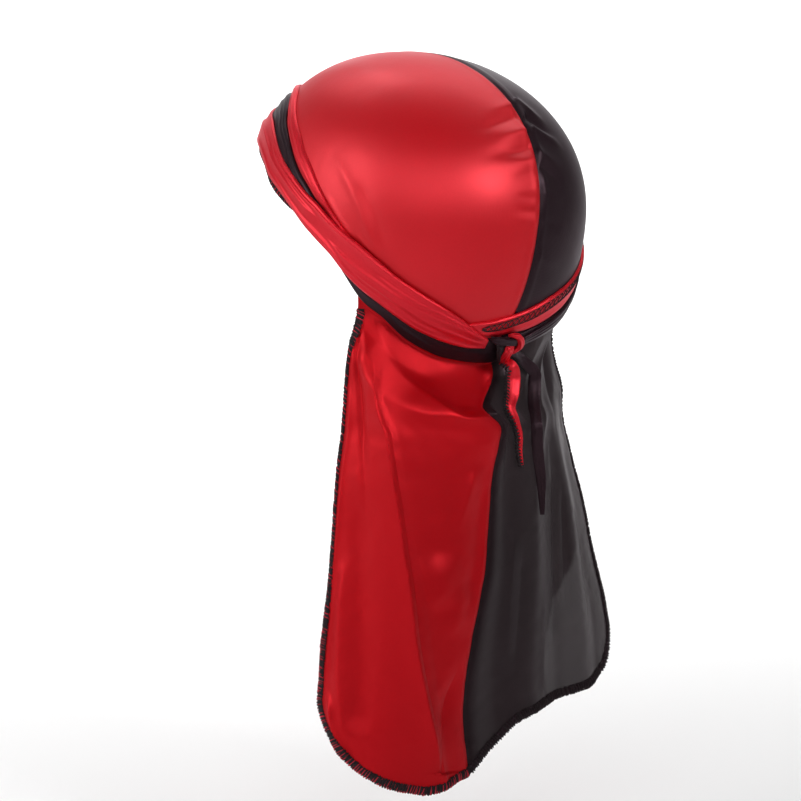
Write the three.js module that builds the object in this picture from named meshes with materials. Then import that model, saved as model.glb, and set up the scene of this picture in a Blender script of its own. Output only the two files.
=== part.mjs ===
// A two-colour satin durag in the form it has when worn: dome, ties, knot and neck flap.
// Millimetres, +Z up. The wearer faces -Y and the wearer's left is +X.
// The origin is the inner top of the dome, where the head carries it.

import * as THREE from 'three';

// Dome, as the outer face of the cloth on an adult head
const crownHalfWidth = 78.6;
const crownHalfLength = 101.2;
const crownFrontLength = 97;
const crownRise = 81.8;
const napeDrop = 98.6;
const crownTilt = THREE.MathUtils.degToRad(-5.5);
const sectionFullness = 2.14;
const planFullness = 2.14;
const backSwell = 0.087;
const seamDrift = 8;
const seamFlatten = 4;
const seamNarrow = 3;

// Cloth and the spaces between pieces
const clothWall = 1.2;
const seatHeight = crownRise - clothWall;
const tieWall = 1;
const pleatRise = 1;
const pieceGap = 0.3;
const tieGap = 0.5;
const tuckGap = 1.8;
const tuckDepth = 0.5;
const hemGap = 0.5;

// Overlocked edges
const hemWidth = 3.4;
const hemThickness = 1.9;

// Neck flap
const capeLength = 251;
const capeHangLine = 43;
const capeHalfSpread = 96;
const capeStandoff = 90;
const foldDepth = 9;
const swagDepth = 5;
const releaseLength = 26;
const foldSettle = 0.3;
const swagFade = 0.12;

// Knot and free ends of the ties
const knotTurnHeight = 5.2;
const knotTurnDepth = 3.4;
const knotLoopThickness = 3.2;
const knotRise = 5.4;
const tailWall = 1.4;
const tailRedLength = 62;
const tailRedWidth = 9;
const tailBlackLength = 88;
const tailBlackWidth = 11;

// Lower edge of the dome: angle round the head in degrees, height as a share of crownRise
// above the widest line and of napeDrop below it. 0 is the left ear, 90 the nape.
const crownEdge = [
  { angle: -90, height: 0.355 },
  { angle: -70, height: 0.34 },
  { angle: -50, height: 0.325 },
  { angle: -35, height: 0.295 },
  { angle: -25, height: 0.25 },
  { angle: -16, height: 0.145 },
  { angle: -8, height: 0.08 },
  { angle: 0, height: 0.025 },
  { angle: 6, height: -0.03 },
  { angle: 12, height: -0.09 },
  { angle: 18, height: -0.16 },
  { angle: 28, height: -0.305 },
  { angle: 36, height: -0.405 },
  { angle: 43, height: -0.485 },
  { angle: 50, height: -0.55 },
  { angle: 59, height: -0.59 },
  { angle: 70, height: -0.62 },
  { angle: 90, height: -0.63 },
  { angle: 96, height: -0.625 },
  { angle: 102, height: -0.59 },
  { angle: 108, height: -0.55 },
  { angle: 120, height: -0.49 },
  { angle: 131, height: -0.435 },
  { angle: 140, height: -0.36 },
  { angle: 151, height: -0.245 },
  { angle: 162, height: -0.12 },
  { angle: 174, height: -0.02 },
  { angle: 180, height: 0.025 },
  { angle: 188, height: 0.08 },
  { angle: 196, height: 0.145 },
  { angle: 205, height: 0.25 },
  { angle: 215, height: 0.295 },
  { angle: 230, height: 0.325 },
  { angle: 250, height: 0.34 },
  { angle: 270, height: 0.355 },
];

// Each leg of a tie: upper and lower edge as the same shares, and the layer it lies in
const redWrapLeg = [
  { angle: -105, upper: 0.575, lower: 0.385, layer: 1 },
  { angle: -90, upper: 0.565, lower: 0.36, layer: 1 },
  { angle: -70, upper: 0.545, lower: 0.34, layer: 1 },
  { angle: -50, upper: 0.525, lower: 0.335, layer: 1 },
  { angle: -32, upper: 0.495, lower: 0.31, layer: 1 },
  { angle: -22, upper: 0.43, lower: 0.245, layer: 1 },
  { angle: -15, upper: 0.36, lower: 0.17, layer: 1 },
  { angle: -7.5, upper: 0.28, lower: 0.105, layer: 1 },
  { angle: -1, upper: 0.215, lower: 0.035, layer: 1 },
  { angle: 6, upper: 0.14, lower: -0.05, layer: 1 },
  { angle: 12, upper: 0.08, lower: -0.115, layer: 1 },
  { angle: 18, upper: 0, lower: -0.18, layer: 1 },
  { angle: 23, upper: -0.05, lower: -0.255, layer: 1 },
  { angle: 29, upper: -0.105, lower: -0.33, layer: 1 },
  { angle: 35, upper: -0.17, lower: -0.39, layer: 1 },
  { angle: 41, upper: -0.24, lower: -0.45, layer: 1 },
  { angle: 49, upper: -0.315, lower: -0.52, layer: 1 },
  { angle: 59, upper: -0.4, lower: -0.575, layer: 1 },
  { angle: 68, upper: -0.48, lower: -0.605, layer: 1 },
  { angle: 73, upper: -0.525, lower: -0.61, layer: 1 },
  { angle: 77.5, upper: -0.56, lower: -0.612, layer: 1 },
];

const redCrossingLeg = [
  { angle: 67, upper: -0.485, lower: -0.535, layer: 0 },
  { angle: 72, upper: -0.475, lower: -0.547, layer: 0 },
  { angle: 77, upper: -0.465, lower: -0.553, layer: 0 },
  { angle: 82, upper: -0.45, lower: -0.555, layer: 0 },
  { angle: 88, upper: -0.43, lower: -0.545, layer: 0 },
  { angle: 96, upper: -0.393, lower: -0.535, layer: 0 },
  { angle: 103, upper: -0.355, lower: -0.51, layer: 0 },
  { angle: 111, upper: -0.315, lower: -0.472, layer: 0 },
  { angle: 120, upper: -0.265, lower: -0.425, layer: 0 },
  { angle: 130, upper: -0.195, lower: -0.355, layer: 0 },
  { angle: 140, upper: -0.11, lower: -0.275, layer: 0 },
  { angle: 150, upper: -0.01, lower: -0.165, layer: 0 },
  { angle: 160, upper: 0.12, lower: -0.05, layer: 0 },
  { angle: 170, upper: 0.255, lower: 0.073, layer: 0 },
  { angle: 180, upper: 0.37, lower: 0.195, layer: 0 },
  { angle: 190, upper: 0.47, lower: 0.305, layer: 0 },
  { angle: 200, upper: 0.56, lower: 0.4, layer: 0 },
  { angle: 208, upper: 0.625, lower: 0.474, layer: 0 },
  { angle: 222, upper: 0.65, lower: 0.498, layer: 1 },
  { angle: 230, upper: 0.645, lower: 0.49, layer: 1 },
  { angle: 240, upper: 0.625, lower: 0.455, layer: 1 },
  { angle: 250, upper: 0.595, lower: 0.415, layer: 1 },
  { angle: 255, upper: 0.575, lower: 0.385, layer: 1 },
];

const blackLowerLeg = [
  { angle: -75, upper: 0.6, lower: 0.42, layer: 0 },
  { angle: -60, upper: 0.645, lower: 0.47, layer: 0 },
  { angle: -50, upper: 0.66, lower: 0.49, layer: 0 },
  { angle: -38, upper: 0.655, lower: 0.49, layer: 0 },
  { angle: -28, upper: 0.6, lower: 0.45, layer: 0 },
  { angle: -21, upper: 0.525, lower: 0.375, layer: 0 },
  { angle: -12, upper: 0.43, lower: 0.285, layer: 0 },
  { angle: -6, upper: 0.34, lower: 0.2, layer: 0 },
  { angle: 0, upper: 0.25, lower: 0.1, layer: 0 },
  { angle: 5, upper: 0.18, lower: 0.03, layer: 0 },
  { angle: 9, upper: 0.115, lower: -0.05, layer: 0 },
  { angle: 14, upper: 0.045, lower: -0.115, layer: 0 },
  { angle: 18, upper: -0.03, lower: -0.185, layer: 0 },
  { angle: 22.5, upper: -0.1, lower: -0.28, layer: 0 },
  { angle: 28.5, upper: -0.2, lower: -0.4, layer: 0 },
  { angle: 36, upper: -0.29, lower: -0.48, layer: 0 },
  { angle: 43, upper: -0.385, lower: -0.57, layer: 0 },
  { angle: 50, upper: -0.455, lower: -0.63, layer: 0 },
  { angle: 59, upper: -0.52, lower: -0.68, layer: 0 },
  { angle: 68, upper: -0.554, lower: -0.705, layer: 0 },
  { angle: 75, upper: -0.568, lower: -0.72, layer: 0 },
  { angle: 82, upper: -0.575, lower: -0.728, layer: 0 },
  { angle: 89, upper: -0.575, lower: -0.73, layer: 0 },
  { angle: 96, upper: -0.553, lower: -0.7, layer: 0 },
  { angle: 102, upper: -0.53, lower: -0.65, layer: 0 },
  { angle: 108, upper: -0.505, lower: -0.6, layer: 0 },
  { angle: 114, upper: -0.475, lower: -0.56, layer: 0 },
  { angle: 120, upper: -0.44, lower: -0.53, layer: 0 },
  { angle: 130, upper: -0.37, lower: -0.475, layer: 0 },
  { angle: 140, upper: -0.29, lower: -0.405, layer: 0 },
  { angle: 150, upper: -0.18, lower: -0.305, layer: 0 },
  { angle: 160, upper: -0.065, lower: -0.185, layer: 0 },
  { angle: 170, upper: 0.055, lower: -0.06, layer: 0 },
  { angle: 176, upper: 0.125, lower: 0.01, layer: 0 },
];

const blackUpperLeg = [
  { angle: 97, upper: -0.565, lower: -0.625, layer: 1 },
  { angle: 104, upper: -0.525, lower: -0.6, layer: 1 },
  { angle: 112, upper: -0.482, lower: -0.575, layer: 1 },
  { angle: 121, upper: -0.43, lower: -0.555, layer: 1 },
  { angle: 131, upper: -0.335, lower: -0.51, layer: 1 },
  { angle: 139.5, upper: -0.24, lower: -0.45, layer: 1 },
  { angle: 145, upper: -0.17, lower: -0.39, layer: 1 },
  { angle: 151, upper: -0.105, lower: -0.33, layer: 1 },
  { angle: 157, upper: -0.05, lower: -0.255, layer: 1 },
  { angle: 162, upper: 0, lower: -0.18, layer: 1 },
  { angle: 168, upper: 0.08, lower: -0.115, layer: 1 },
  { angle: 174, upper: 0.14, lower: -0.05, layer: 1 },
  { angle: 181, upper: 0.215, lower: 0.035, layer: 1 },
  { angle: 187.5, upper: 0.28, lower: 0.105, layer: 1 },
  { angle: 195, upper: 0.36, lower: 0.17, layer: 1 },
  { angle: 202, upper: 0.415, lower: 0.24, layer: 1 },
  { angle: 208, upper: 0.45, lower: 0.28, layer: 1 },
  { angle: 222, upper: 0.472, lower: 0.295, layer: 0 },
  { angle: 230, upper: 0.475, lower: 0.3, layer: 0 },
  { angle: 240, upper: 0.485, lower: 0.31, layer: 0 },
  { angle: 255, upper: 0.51, lower: 0.33, layer: 0 },
  { angle: 270, upper: 0.56, lower: 0.37, layer: 0 },
  { angle: 285, upper: 0.6, lower: 0.42, layer: 0 },
];

const pleatLeg = [
  { angle: -74, upper: 0.69, lower: 0.655, layer: 0 },
  { angle: -60, upper: 0.71, lower: 0.665, layer: 0 },
  { angle: -45, upper: 0.715, lower: 0.675, layer: 0 },
  { angle: -34, upper: 0.695, lower: 0.65, layer: 0 },
  { angle: -25, upper: 0.645, lower: 0.585, layer: 0 },
  { angle: -16, upper: 0.57, lower: 0.49, layer: 0 },
  { angle: -6, upper: 0.465, lower: 0.355, layer: 0 },
  { angle: 0, upper: 0.375, lower: 0.265, layer: 0 },
  { angle: 5, upper: 0.3, lower: 0.195, layer: 0 },
  { angle: 11, upper: 0.18, lower: 0.1, layer: 0 },
  { angle: 15, upper: 0.095, lower: 0.05, layer: 0 },
];

// Lengthwise pleats of a leg: share of the way from its lower edge, and share of pleatRise
const wrapPleats = [
  { across: 0, rise: 0 },
  { across: 0.2, rise: 0.55 },
  { across: 0.48, rise: 0.8 },
  { across: 0.66, rise: 1 },
  { across: 0.74, rise: 0.3 },
  { across: 1, rise: 0.15 },
];

const plainPleats = [
  { across: 0, rise: 0 },
  { across: 0.5, rise: 0.2 },
  { across: 1, rise: 0 },
];

const crossingPleats = [
  { across: 0, rise: 0 },
  { across: 0.3, rise: 0.25 },
  { across: 0.7, rise: 0.1 },
  { across: 1, rise: 0.2 },
];

// Plan of the flap at each level: drop as a share of capeLength below capeHangLine,
// x as shares of capeHalfSpread, y as shares of capeStandoff
const capeLevels = [
  { drop: 0, leftX: 0.72, leftY: 0.44, seamX: 0.03, seamY: 0.82, rightX: -0.6, rightY: 0.46 },
  { drop: 0.134, leftX: 0.75, leftY: 0.4, seamX: 0.05, seamY: 0.79, rightX: -0.61, rightY: 0.465 },
  { drop: 0.17, leftX: 0.76, leftY: 0.4, seamX: 0.095, seamY: 0.81, rightX: -0.62, rightY: 0.48 },
  { drop: 0.228, leftX: 0.775, leftY: 0.41, seamX: 0.19, seamY: 0.88, rightX: -0.65, rightY: 0.51 },
  { drop: 0.268, leftX: 0.785, leftY: 0.41, seamX: 0.105, seamY: 0.93, rightX: -0.65, rightY: 0.51 },
  { drop: 0.3, leftX: 0.8, leftY: 0.41, seamX: 0.115, seamY: 0.935, rightX: -0.66, rightY: 0.51 },
  { drop: 0.374, leftX: 0.83, leftY: 0.41, seamX: 0.155, seamY: 0.935, rightX: -0.705, rightY: 0.53 },
  { drop: 0.484, leftX: 0.865, leftY: 0.42, seamX: 0.19, seamY: 0.945, rightX: -0.77, rightY: 0.57 },
  { drop: 0.58, leftX: 0.895, leftY: 0.43, seamX: 0.23, seamY: 0.955, rightX: -0.815, rightY: 0.595 },
  { drop: 0.713, leftX: 0.94, leftY: 0.435, seamX: 0.325, seamY: 0.955, rightX: -0.893, rightY: 0.632 },
  { drop: 0.85, leftX: 0.99, leftY: 0.445, seamX: 0.385, seamY: 0.955, rightX: -0.935, rightY: 0.655 },
  { drop: 1, leftX: 1, leftY: 0.465, seamX: 0.365, seamY: 0.99, rightX: -0.96, rightY: 0.68 },
];

// Bottom edge of the flap: share of the way from its left edge to its right edge
const capeBottom = [
  { across: 0, drop: 0.83 },
  { across: 0.03, drop: 0.862 },
  { across: 0.07, drop: 0.892 },
  { across: 0.11, drop: 0.922 },
  { across: 0.15, drop: 0.947 },
  { across: 0.2, drop: 0.967 },
  { across: 0.26, drop: 0.985 },
  { across: 0.32, drop: 0.995 },
  { across: 0.37, drop: 1 },
  { across: 0.42, drop: 0.99 },
  { across: 0.46, drop: 0.98 },
  { across: 0.5, drop: 0.975 },
  { across: 0.53, drop: 0.952 },
  { across: 0.57, drop: 0.925 },
  { across: 0.62, drop: 0.888 },
  { across: 0.68, drop: 0.877 },
  { across: 0.75, drop: 0.872 },
  { across: 0.84, drop: 0.866 },
  { across: 0.9, drop: 0.858 },
  { across: 0.95, drop: 0.84 },
  { across: 1, drop: 0.78 },
];

// Hanging folds of the flap: place at its top and bottom and half width as shares of the
// way across, and depth as a share of foldDepth. A negative depth is a valley.
const capeFolds = [
  { top: 0.05, bottom: 0.03, halfWidth: 0.03, depth: 0.25 },
  { top: 0.11, bottom: 0.23, halfWidth: 0.07, depth: 0.75 },
  { top: 0.2, bottom: 0.35, halfWidth: 0.06, depth: -0.75 },
  { top: 0.3, bottom: 0.42, halfWidth: 0.06, depth: 0.3 },
  { top: 0.56, bottom: 0.56, halfWidth: 0.05, depth: -0.35 },
  { top: 0.65, bottom: 0.66, halfWidth: 0.06, depth: 0.6 },
  { top: 0.75, bottom: 0.76, halfWidth: 0.05, depth: -0.55 },
  { top: 0.84, bottom: 0.86, halfWidth: 0.05, depth: 0.5 },
  { top: 0.92, bottom: 0.93, halfWidth: 0.035, depth: -0.2 },
  { top: 1, bottom: 1.01, halfWidth: 0.05, depth: 0.6 },
];

// The slack fold that sags across the red half: crest as across and drop shares
const capeSwag = [
  { across: 0.04, drop: 0.05 },
  { across: 0.12, drop: 0.13 },
  { across: 0.22, drop: 0.2 },
  { across: 0.34, drop: 0.255 },
  { across: 0.5, drop: 0.275 },
  { across: 0.62, drop: 0.25 },
];
const swagHalfHeight = 0.055;
const leftSweep = 90;
const rightSweep = 60;

// The knot on the nape: its middle, and the turns of the two ties through places on it, with
// how far each stands up as a share of knotRise
const knotPlace = { angle: 87, height: -0.588 };
const blackTurn = [
  { angle: 78.6, height: -0.588, rise: 0 },
  { angle: 82.5, height: -0.586, rise: 0.13 },
  { angle: 87, height: -0.588, rise: 0.17 },
  { angle: 92, height: -0.592, rise: 0.1 },
  { angle: 95.6, height: -0.596, rise: 0 },
];
const redTurn = [
  { angle: 86.4, height: -0.52, rise: 0.06 },
  { angle: 88.6, height: -0.535, rise: 0.54 },
  { angle: 90.4, height: -0.575, rise: 0.94 },
  { angle: 90.6, height: -0.62, rise: 0.84 },
  { angle: 89.4, height: -0.66, rise: 0.2 },
];

// Free ends: distance down and sideways place as shares of the length, width as a share of
// the tie's, and how far the band is turned
const redTailRows = [
  { drop: 0, x: 0, width: 0.55, twist: 0, angle: 83.5 },
  { drop: 0.12, x: -0.01, width: 0.6, twist: 0 },
  { drop: 0.3, x: -0.04, width: 1, twist: 0 },
  { drop: 0.45, x: -0.075, width: 1, twist: 0.1 },
  { drop: 0.6, x: -0.11, width: 0.75, twist: 0.2 },
  { drop: 0.8, x: -0.14, width: 0.5, twist: 0.1 },
  { drop: 1, x: -0.17, width: 0.15, twist: 0 },
];
const blackTailRows = [
  { drop: 0, x: 0, width: 0.45, twist: 0, angle: 93.2 },
  { drop: 0.05, x: -0.02, width: 0.55, twist: 0 },
  { drop: 0.12, x: -0.07, width: 0.75, twist: 0 },
  { drop: 0.25, x: -0.1, width: 0.9, twist: 0.1 },
  { drop: 0.45, x: -0.115, width: 0.75, twist: 0.15 },
  { drop: 0.7, x: -0.11, width: 0.7, twist: 0 },
  { drop: 0.9, x: -0.115, width: 0.6, twist: 0 },
  { drop: 1, x: -0.12, width: 0.2, twist: 0 },
];
const tailSettle = 0.3;
const tailGap = 1.6;

// Where the flap leaves the dome, and how finely the pieces are divided
const capeLeftAngle = 25;
const capeRightAngle = 152;
const seamAngle = 90;
const frontAngle = -90;
const crownColumns = 24;
const crownRows = 12;
const frontHemColumns = 13;
const legStep = 5.2;
const capeRows = 17;
const tuckedRows = [0, -0.5, -0.95];
const acrossSteps = 24;
const knotSteps = 10;
const tailRows = 16;
const knotSides = 8;
const capeColumns = [0, 0.012, 0.03, 0.06, 0.1, 0.14, 0.18, 0.225, 0.27, 0.315, 0.36, 0.405, 0.45, 0.5];
const rowEasing = 1.12;
const weldDigits = 4;
const probeStep = 0.05;
const acrossProbe = 0.05;

function smoothStep(share) {
  const bounded = THREE.MathUtils.clamp(share, 0, 1);
  return bounded * bounded * (3 - 2 * bounded);
}

// Value of a named column of a table, eased through its rows
function columnAt(table, key, place, column) {
  const last = table.length - 1;
  let low = 0;
  while (low < last - 1 && place > table[low + 1][key]) {
    low += 1;
  }
  const slope = (row) => {
    const before = table[Math.max(row - 1, 0)];
    const after = table[Math.min(row + 1, last)];
    return (after[column] - before[column]) / (after[key] - before[key]);
  };
  const from = table[low];
  const to = table[low + 1];
  const span = to[key] - from[key];
  const share = THREE.MathUtils.clamp((place - from[key]) / span, 0, 1);
  const square = share * share;
  const cube = square * share;
  const easedFrom = (2 * cube - 3 * square + 1) * from[column] + (3 * square - 2 * cube) * to[column];
  const easedSlope = (cube - 2 * square + share) * slope(low) + (cube - square) * slope(low + 1);
  return easedFrom + easedSlope * span;
}

function heightOf(share) {
  return share > 0 ? share * crownRise : share * napeDrop;
}

// How full a level of the dome is, 1 on its widest line and 0 at its poles
function levelFullness(height) {
  const reach = height > 0 ? crownRise : napeDrop;
  return Math.max(1 - Math.abs(height / reach) ** sectionFullness, 0) ** (1 / sectionFullness);
}

function lengthToward(y) {
  return y < 0 ? crownFrontLength : crownHalfLength;
}

function planReach(x, y) {
  const across = Math.abs(x) / (crownHalfWidth * (1 + backSwell * y / crownHalfLength));
  const along = Math.abs(y) / lengthToward(y);
  return (across ** planFullness + along ** planFullness) ** (1 / planFullness);
}

function insideMeasure(point) {
  const reach = point.z > 0 ? crownRise : napeDrop;
  return planReach(point.x, point.y) ** sectionFullness + Math.abs(point.z / reach) ** sectionFullness;
}

function domeNormal(point) {
  const slope = (axis) => {
    const ahead = point.clone();
    const behind = point.clone();
    ahead[axis] += probeStep;
    behind[axis] -= probeStep;
    return insideMeasure(ahead) - insideMeasure(behind);
  };
  return new THREE.Vector3(slope('x'), slope('y'), slope('z')).normalize();
}

// From the dome's own axes to the part's axes
function settled(point) {
  const turned = point.clone().applyAxisAngle(new THREE.Vector3(1, 0, 0), crownTilt);
  return turned.setZ(turned.z - seatHeight);
}

function domePlan(angle, fullness) {
  const turn = THREE.MathUtils.degToRad(angle);
  const round = (Math.abs(Math.cos(turn)) ** planFullness + Math.abs(Math.sin(turn)) ** planFullness)
    ** (-1 / planFullness);
  const y = lengthToward(Math.sin(turn)) * fullness * round * Math.sin(turn);
  const x = crownHalfWidth * fullness * round * Math.cos(turn) * (1 + backSwell * y / crownHalfLength);
  return new THREE.Vector2(x, y);
}

// A point on the head, at an angle round it and a height, standing off the dome by a distance
function onHead(angle, height, standoff) {
  const plan = domePlan(angle, levelFullness(height));
  const point = new THREE.Vector3(plan.x, plan.y, height);
  return settled(point.addScaledVector(domeNormal(point), standoff));
}

function latitudeOf(height) {
  const reach = height > 0 ? crownRise : napeDrop;
  return Math.atan2(height / reach, levelFullness(height));
}

// The centre seam leans to the wearer's right at the top and to the left at the nape
function seamTurn(angle, latitude) {
  const rise = Math.sin(latitude);
  const shift = seamDrift * (rise - Math.max(rise, 0) ** seamFlatten);
  const turn = Math.atan2(shift, crownHalfWidth * Math.cos(latitude));
  return THREE.MathUtils.radToDeg(turn) * Math.sin(THREE.MathUtils.degToRad(angle)) ** seamNarrow;
}

function onCrown(angle, latitude, standoff, sideShift) {
  const across = Math.cos(latitude);
  const up = Math.sin(latitude);
  const sum = Math.abs(across) ** sectionFullness + Math.abs(up) ** sectionFullness;
  const round = sum ** (-1 / sectionFullness);
  const plan = domePlan(angle + seamTurn(angle, latitude), round * across);
  plan.x -= seamDrift * Math.max(up, 0) ** seamFlatten;
  const fullness = Math.min(planReach(plan.x, plan.y), 1);
  const reach = up > 0 ? crownRise : -napeDrop;
  const height = reach * (1 - fullness ** sectionFullness) ** (1 / sectionFullness);
  const point = new THREE.Vector3(plan.x, plan.y, height);
  point.addScaledVector(domeNormal(point), standoff);
  point.x += sideShift;
  return settled(point);
}

// A closed body between two grids of points of the same size
function closedSheet(outer, inner) {
  const positions = [];
  const triangles = [];
  const known = new Map();
  const vertex = (point) => {
    const key = point.toArray().map((value) => value.toFixed(weldDigits)).join();
    if (!known.has(key)) {
      known.set(key, known.size);
      positions.push(point.x, point.y, point.z);
    }
    return known.get(key);
  };
  const triangle = (a, b, c) => {
    if (a !== b && b !== c && c !== a) {
      triangles.push(a, b, c);
    }
  };
  const quad = (a, b, c, d) => {
    triangle(vertex(a), vertex(b), vertex(c));
    triangle(vertex(a), vertex(c), vertex(d));
  };
  const rows = outer.length - 1;
  const columns = outer[0].length - 1;
  for (let row = 0; row < rows; row += 1) {
    for (let column = 0; column < columns; column += 1) {
      const corners = [[row, column], [row, column + 1], [row + 1, column + 1], [row + 1, column]];
      quad(...corners.map(([r, c]) => outer[r][c]));
      quad(...corners.reverse().map(([r, c]) => inner[r][c]));
    }
    quad(outer[row + 1][0], inner[row + 1][0], inner[row][0], outer[row][0]);
    quad(outer[row][columns], inner[row][columns], inner[row + 1][columns], outer[row + 1][columns]);
  }
  for (let column = 0; column < columns; column += 1) {
    quad(outer[0][column], inner[0][column], inner[0][column + 1], outer[0][column + 1]);
    quad(outer[rows][column + 1], inner[rows][column + 1], inner[rows][column], outer[rows][column]);
  }
  return bodyGeometry(positions, triangles);
}

// A closed body through rings of points, capped at both ends
function closedTube(rings) {
  const sides = rings[0].length - 1;
  const positions = [];
  const triangles = [];
  rings.forEach((ring) => {
    ring.slice(0, sides).forEach((point) => positions.push(point.x, point.y, point.z));
  });
  const index = (ring, side) => ring * sides + side % sides;
  for (let ring = 0; ring < rings.length - 1; ring += 1) {
    for (let side = 0; side < sides; side += 1) {
      triangles.push(index(ring, side), index(ring, side + 1), index(ring + 1, side + 1));
      triangles.push(index(ring, side), index(ring + 1, side + 1), index(ring + 1, side));
    }
  }
  const lastRing = rings.length - 1;
  for (let side = 1; side < sides - 1; side += 1) {
    triangles.push(index(0, 0), index(0, side + 1), index(0, side));
    triangles.push(index(lastRing, 0), index(lastRing, side), index(lastRing, side + 1));
  }
  return bodyGeometry(positions, triangles);
}

// Faces are turned outward by the sign of the volume
function bodyGeometry(positions, triangles) {
  const corner = (index) => new THREE.Vector3().fromArray(positions, 3 * index);
  let volume = 0;
  for (let first = 0; first < triangles.length; first += 3) {
    const [a, b, c] = triangles.slice(first, first + 3).map(corner);
    volume += a.dot(b.cross(c));
  }
  const geometry = new THREE.BufferGeometry();
  geometry.setAttribute('position', new THREE.Float32BufferAttribute(positions, 3));
  geometry.setIndex(volume > 0 ? triangles : triangles.reverse());
  return geometry;
}

function gridNormal(grid, row, column) {
  const lastRow = grid.length - 1;
  const lastColumn = grid[0].length - 1;
  const down = grid[Math.min(row + 1, lastRow)][column].clone().sub(grid[Math.max(row - 1, 0)][column]);
  const along = grid[row][Math.min(column + 1, lastColumn)].clone().sub(grid[row][Math.max(column - 1, 0)]);
  return along.cross(down).normalize();
}

function spread(count, from, to) {
  return Array.from({ length: count + 1 }, (_, index) => from + (to - from) * index / count);
}

function crownPanel(fromAngle, toAngle, sideShift) {
  const grid = (standoff) => spread(crownRows, 0, 1).map((share) => (
    spread(crownColumns, fromAngle, toAngle).map((angle) => {
      const edge = latitudeOf(heightOf(columnAt(crownEdge, 'angle', angle, 'height')));
      const latitude = edge + (Math.PI / 2 - edge) * share;
      return onCrown(angle, latitude, standoff, sideShift);
    })
  ));
  return closedSheet(grid(0), grid(-clothWall));
}

// The edge of the dome in front of the ears, as a strip just below it
function frontHem() {
  const reach = (seamAngle - frontAngle) * frontHemColumns / crownColumns;
  const angles = spread(2 * frontHemColumns, frontAngle - reach, frontAngle + reach);
  const grid = (standoff) => [0, 1].map((side) => angles.map((angle) => {
    const tablePlace = angle < frontAngle ? angle + 360 : angle;
    const edge = heightOf(columnAt(crownEdge, 'angle', tablePlace, 'height'));
    return onCrown(angle, latitudeOf(edge - pieceGap - side * hemWidth), standoff, 0);
  }));
  return closedSheet(grid(0), grid(-hemThickness));
}

function layerStandoff(layer) {
  return tieGap + layer * (tieWall + pleatRise * plainPleats[1].rise + tieGap);
}

// One leg of a tie, laid on the head between the two angles
function tieLeg(leg, pleats, trim) {
  const first = leg[0].angle + trim;
  const last = leg[leg.length - 1].angle - trim;
  const angles = spread(Math.round((last - first) / legStep), first, last);
  const grid = (thickness, pleatShare) => pleats.map((pleat) => angles.map((angle) => {
    const lower = heightOf(columnAt(leg, 'angle', angle, 'lower'));
    const upper = heightOf(columnAt(leg, 'angle', angle, 'upper'));
    const layer = columnAt(leg, 'angle', angle, 'layer');
    const standoff = layerStandoff(layer) + thickness + pleatRise * pleat.rise * pleatShare;
    return onHead(angle, lower + (upper - lower) * pleat.across, standoff);
  }));
  return closedSheet(grid(tieWall, 1), grid(0, 0));
}

// Lowest tie edge at an angle, which is where the flap comes out
function coveredDownTo(angle) {
  const legs = [redWrapLeg, blackLowerLeg, blackUpperLeg];
  const lowest = legs.filter((leg) => angle >= leg[0].angle && angle <= leg[leg.length - 1].angle)
    .map((leg) => columnAt(leg, 'angle', angle, 'lower'));
  return heightOf(Math.min(...lowest));
}

function capeLevel(drop) {
  const column = (name) => columnAt(capeLevels, 'drop', drop, name);
  return {
    left: new THREE.Vector2(column('leftX') * capeHalfSpread, column('leftY') * capeStandoff),
    seam: new THREE.Vector2(column('seamX') * capeHalfSpread, column('seamY') * capeStandoff),
    right: new THREE.Vector2(column('rightX') * capeHalfSpread, column('rightY') * capeStandoff),
  };
}

// Plan of the hanging flap: an arc of an oval from the seam to each side edge
function capePlan(across, drop) {
  const level = capeLevel(drop);
  const side = across < 0.5 ? level.left : level.right;
  const sweep = THREE.MathUtils.degToRad(across < 0.5 ? leftSweep : rightSweep);
  const turn = sweep * Math.abs(across - 0.5) * 2;
  return new THREE.Vector2(
    level.seam.x + (side.x - level.seam.x) * Math.sin(turn) / Math.sin(sweep),
    level.seam.y + (side.y - level.seam.y) * (1 - Math.cos(turn)) / (1 - Math.cos(sweep)),
  );
}

function ridge(distance) {
  return Math.exp(-distance * distance);
}

// How far a fold pushes the flap out at a place on it
function capeRelief(across, drop) {
  const settle = smoothStep(drop / foldSettle);
  const folds = capeFolds.reduce((sum, fold) => {
    const middle = fold.top + (fold.bottom - fold.top) * drop;
    return sum + fold.depth * ridge((across - middle) / fold.halfWidth);
  }, 0);
  const crest = columnAt(capeSwag, 'across', across, 'drop');
  const last = capeSwag[capeSwag.length - 1];
  const fade = smoothStep((last.across - across) / swagFade);
  const swag = ridge((drop - crest) / swagHalfHeight) * fade;
  return foldDepth * folds * settle + swagDepth * swag;
}

// A place on the outer face of the flap, or standing off it
function outsideFlap(across, drop, standoff) {
  const hanging = capePlan(across, drop);
  const ahead = capePlan(Math.min(across + acrossProbe, 1), drop);
  const behind = capePlan(Math.max(across - acrossProbe, 0), drop);
  const outward = new THREE.Vector2(ahead.y - behind.y, behind.x - ahead.x).normalize();
  return hanging.addScaledVector(outward, capeRelief(across, drop) + standoff);
}

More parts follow.
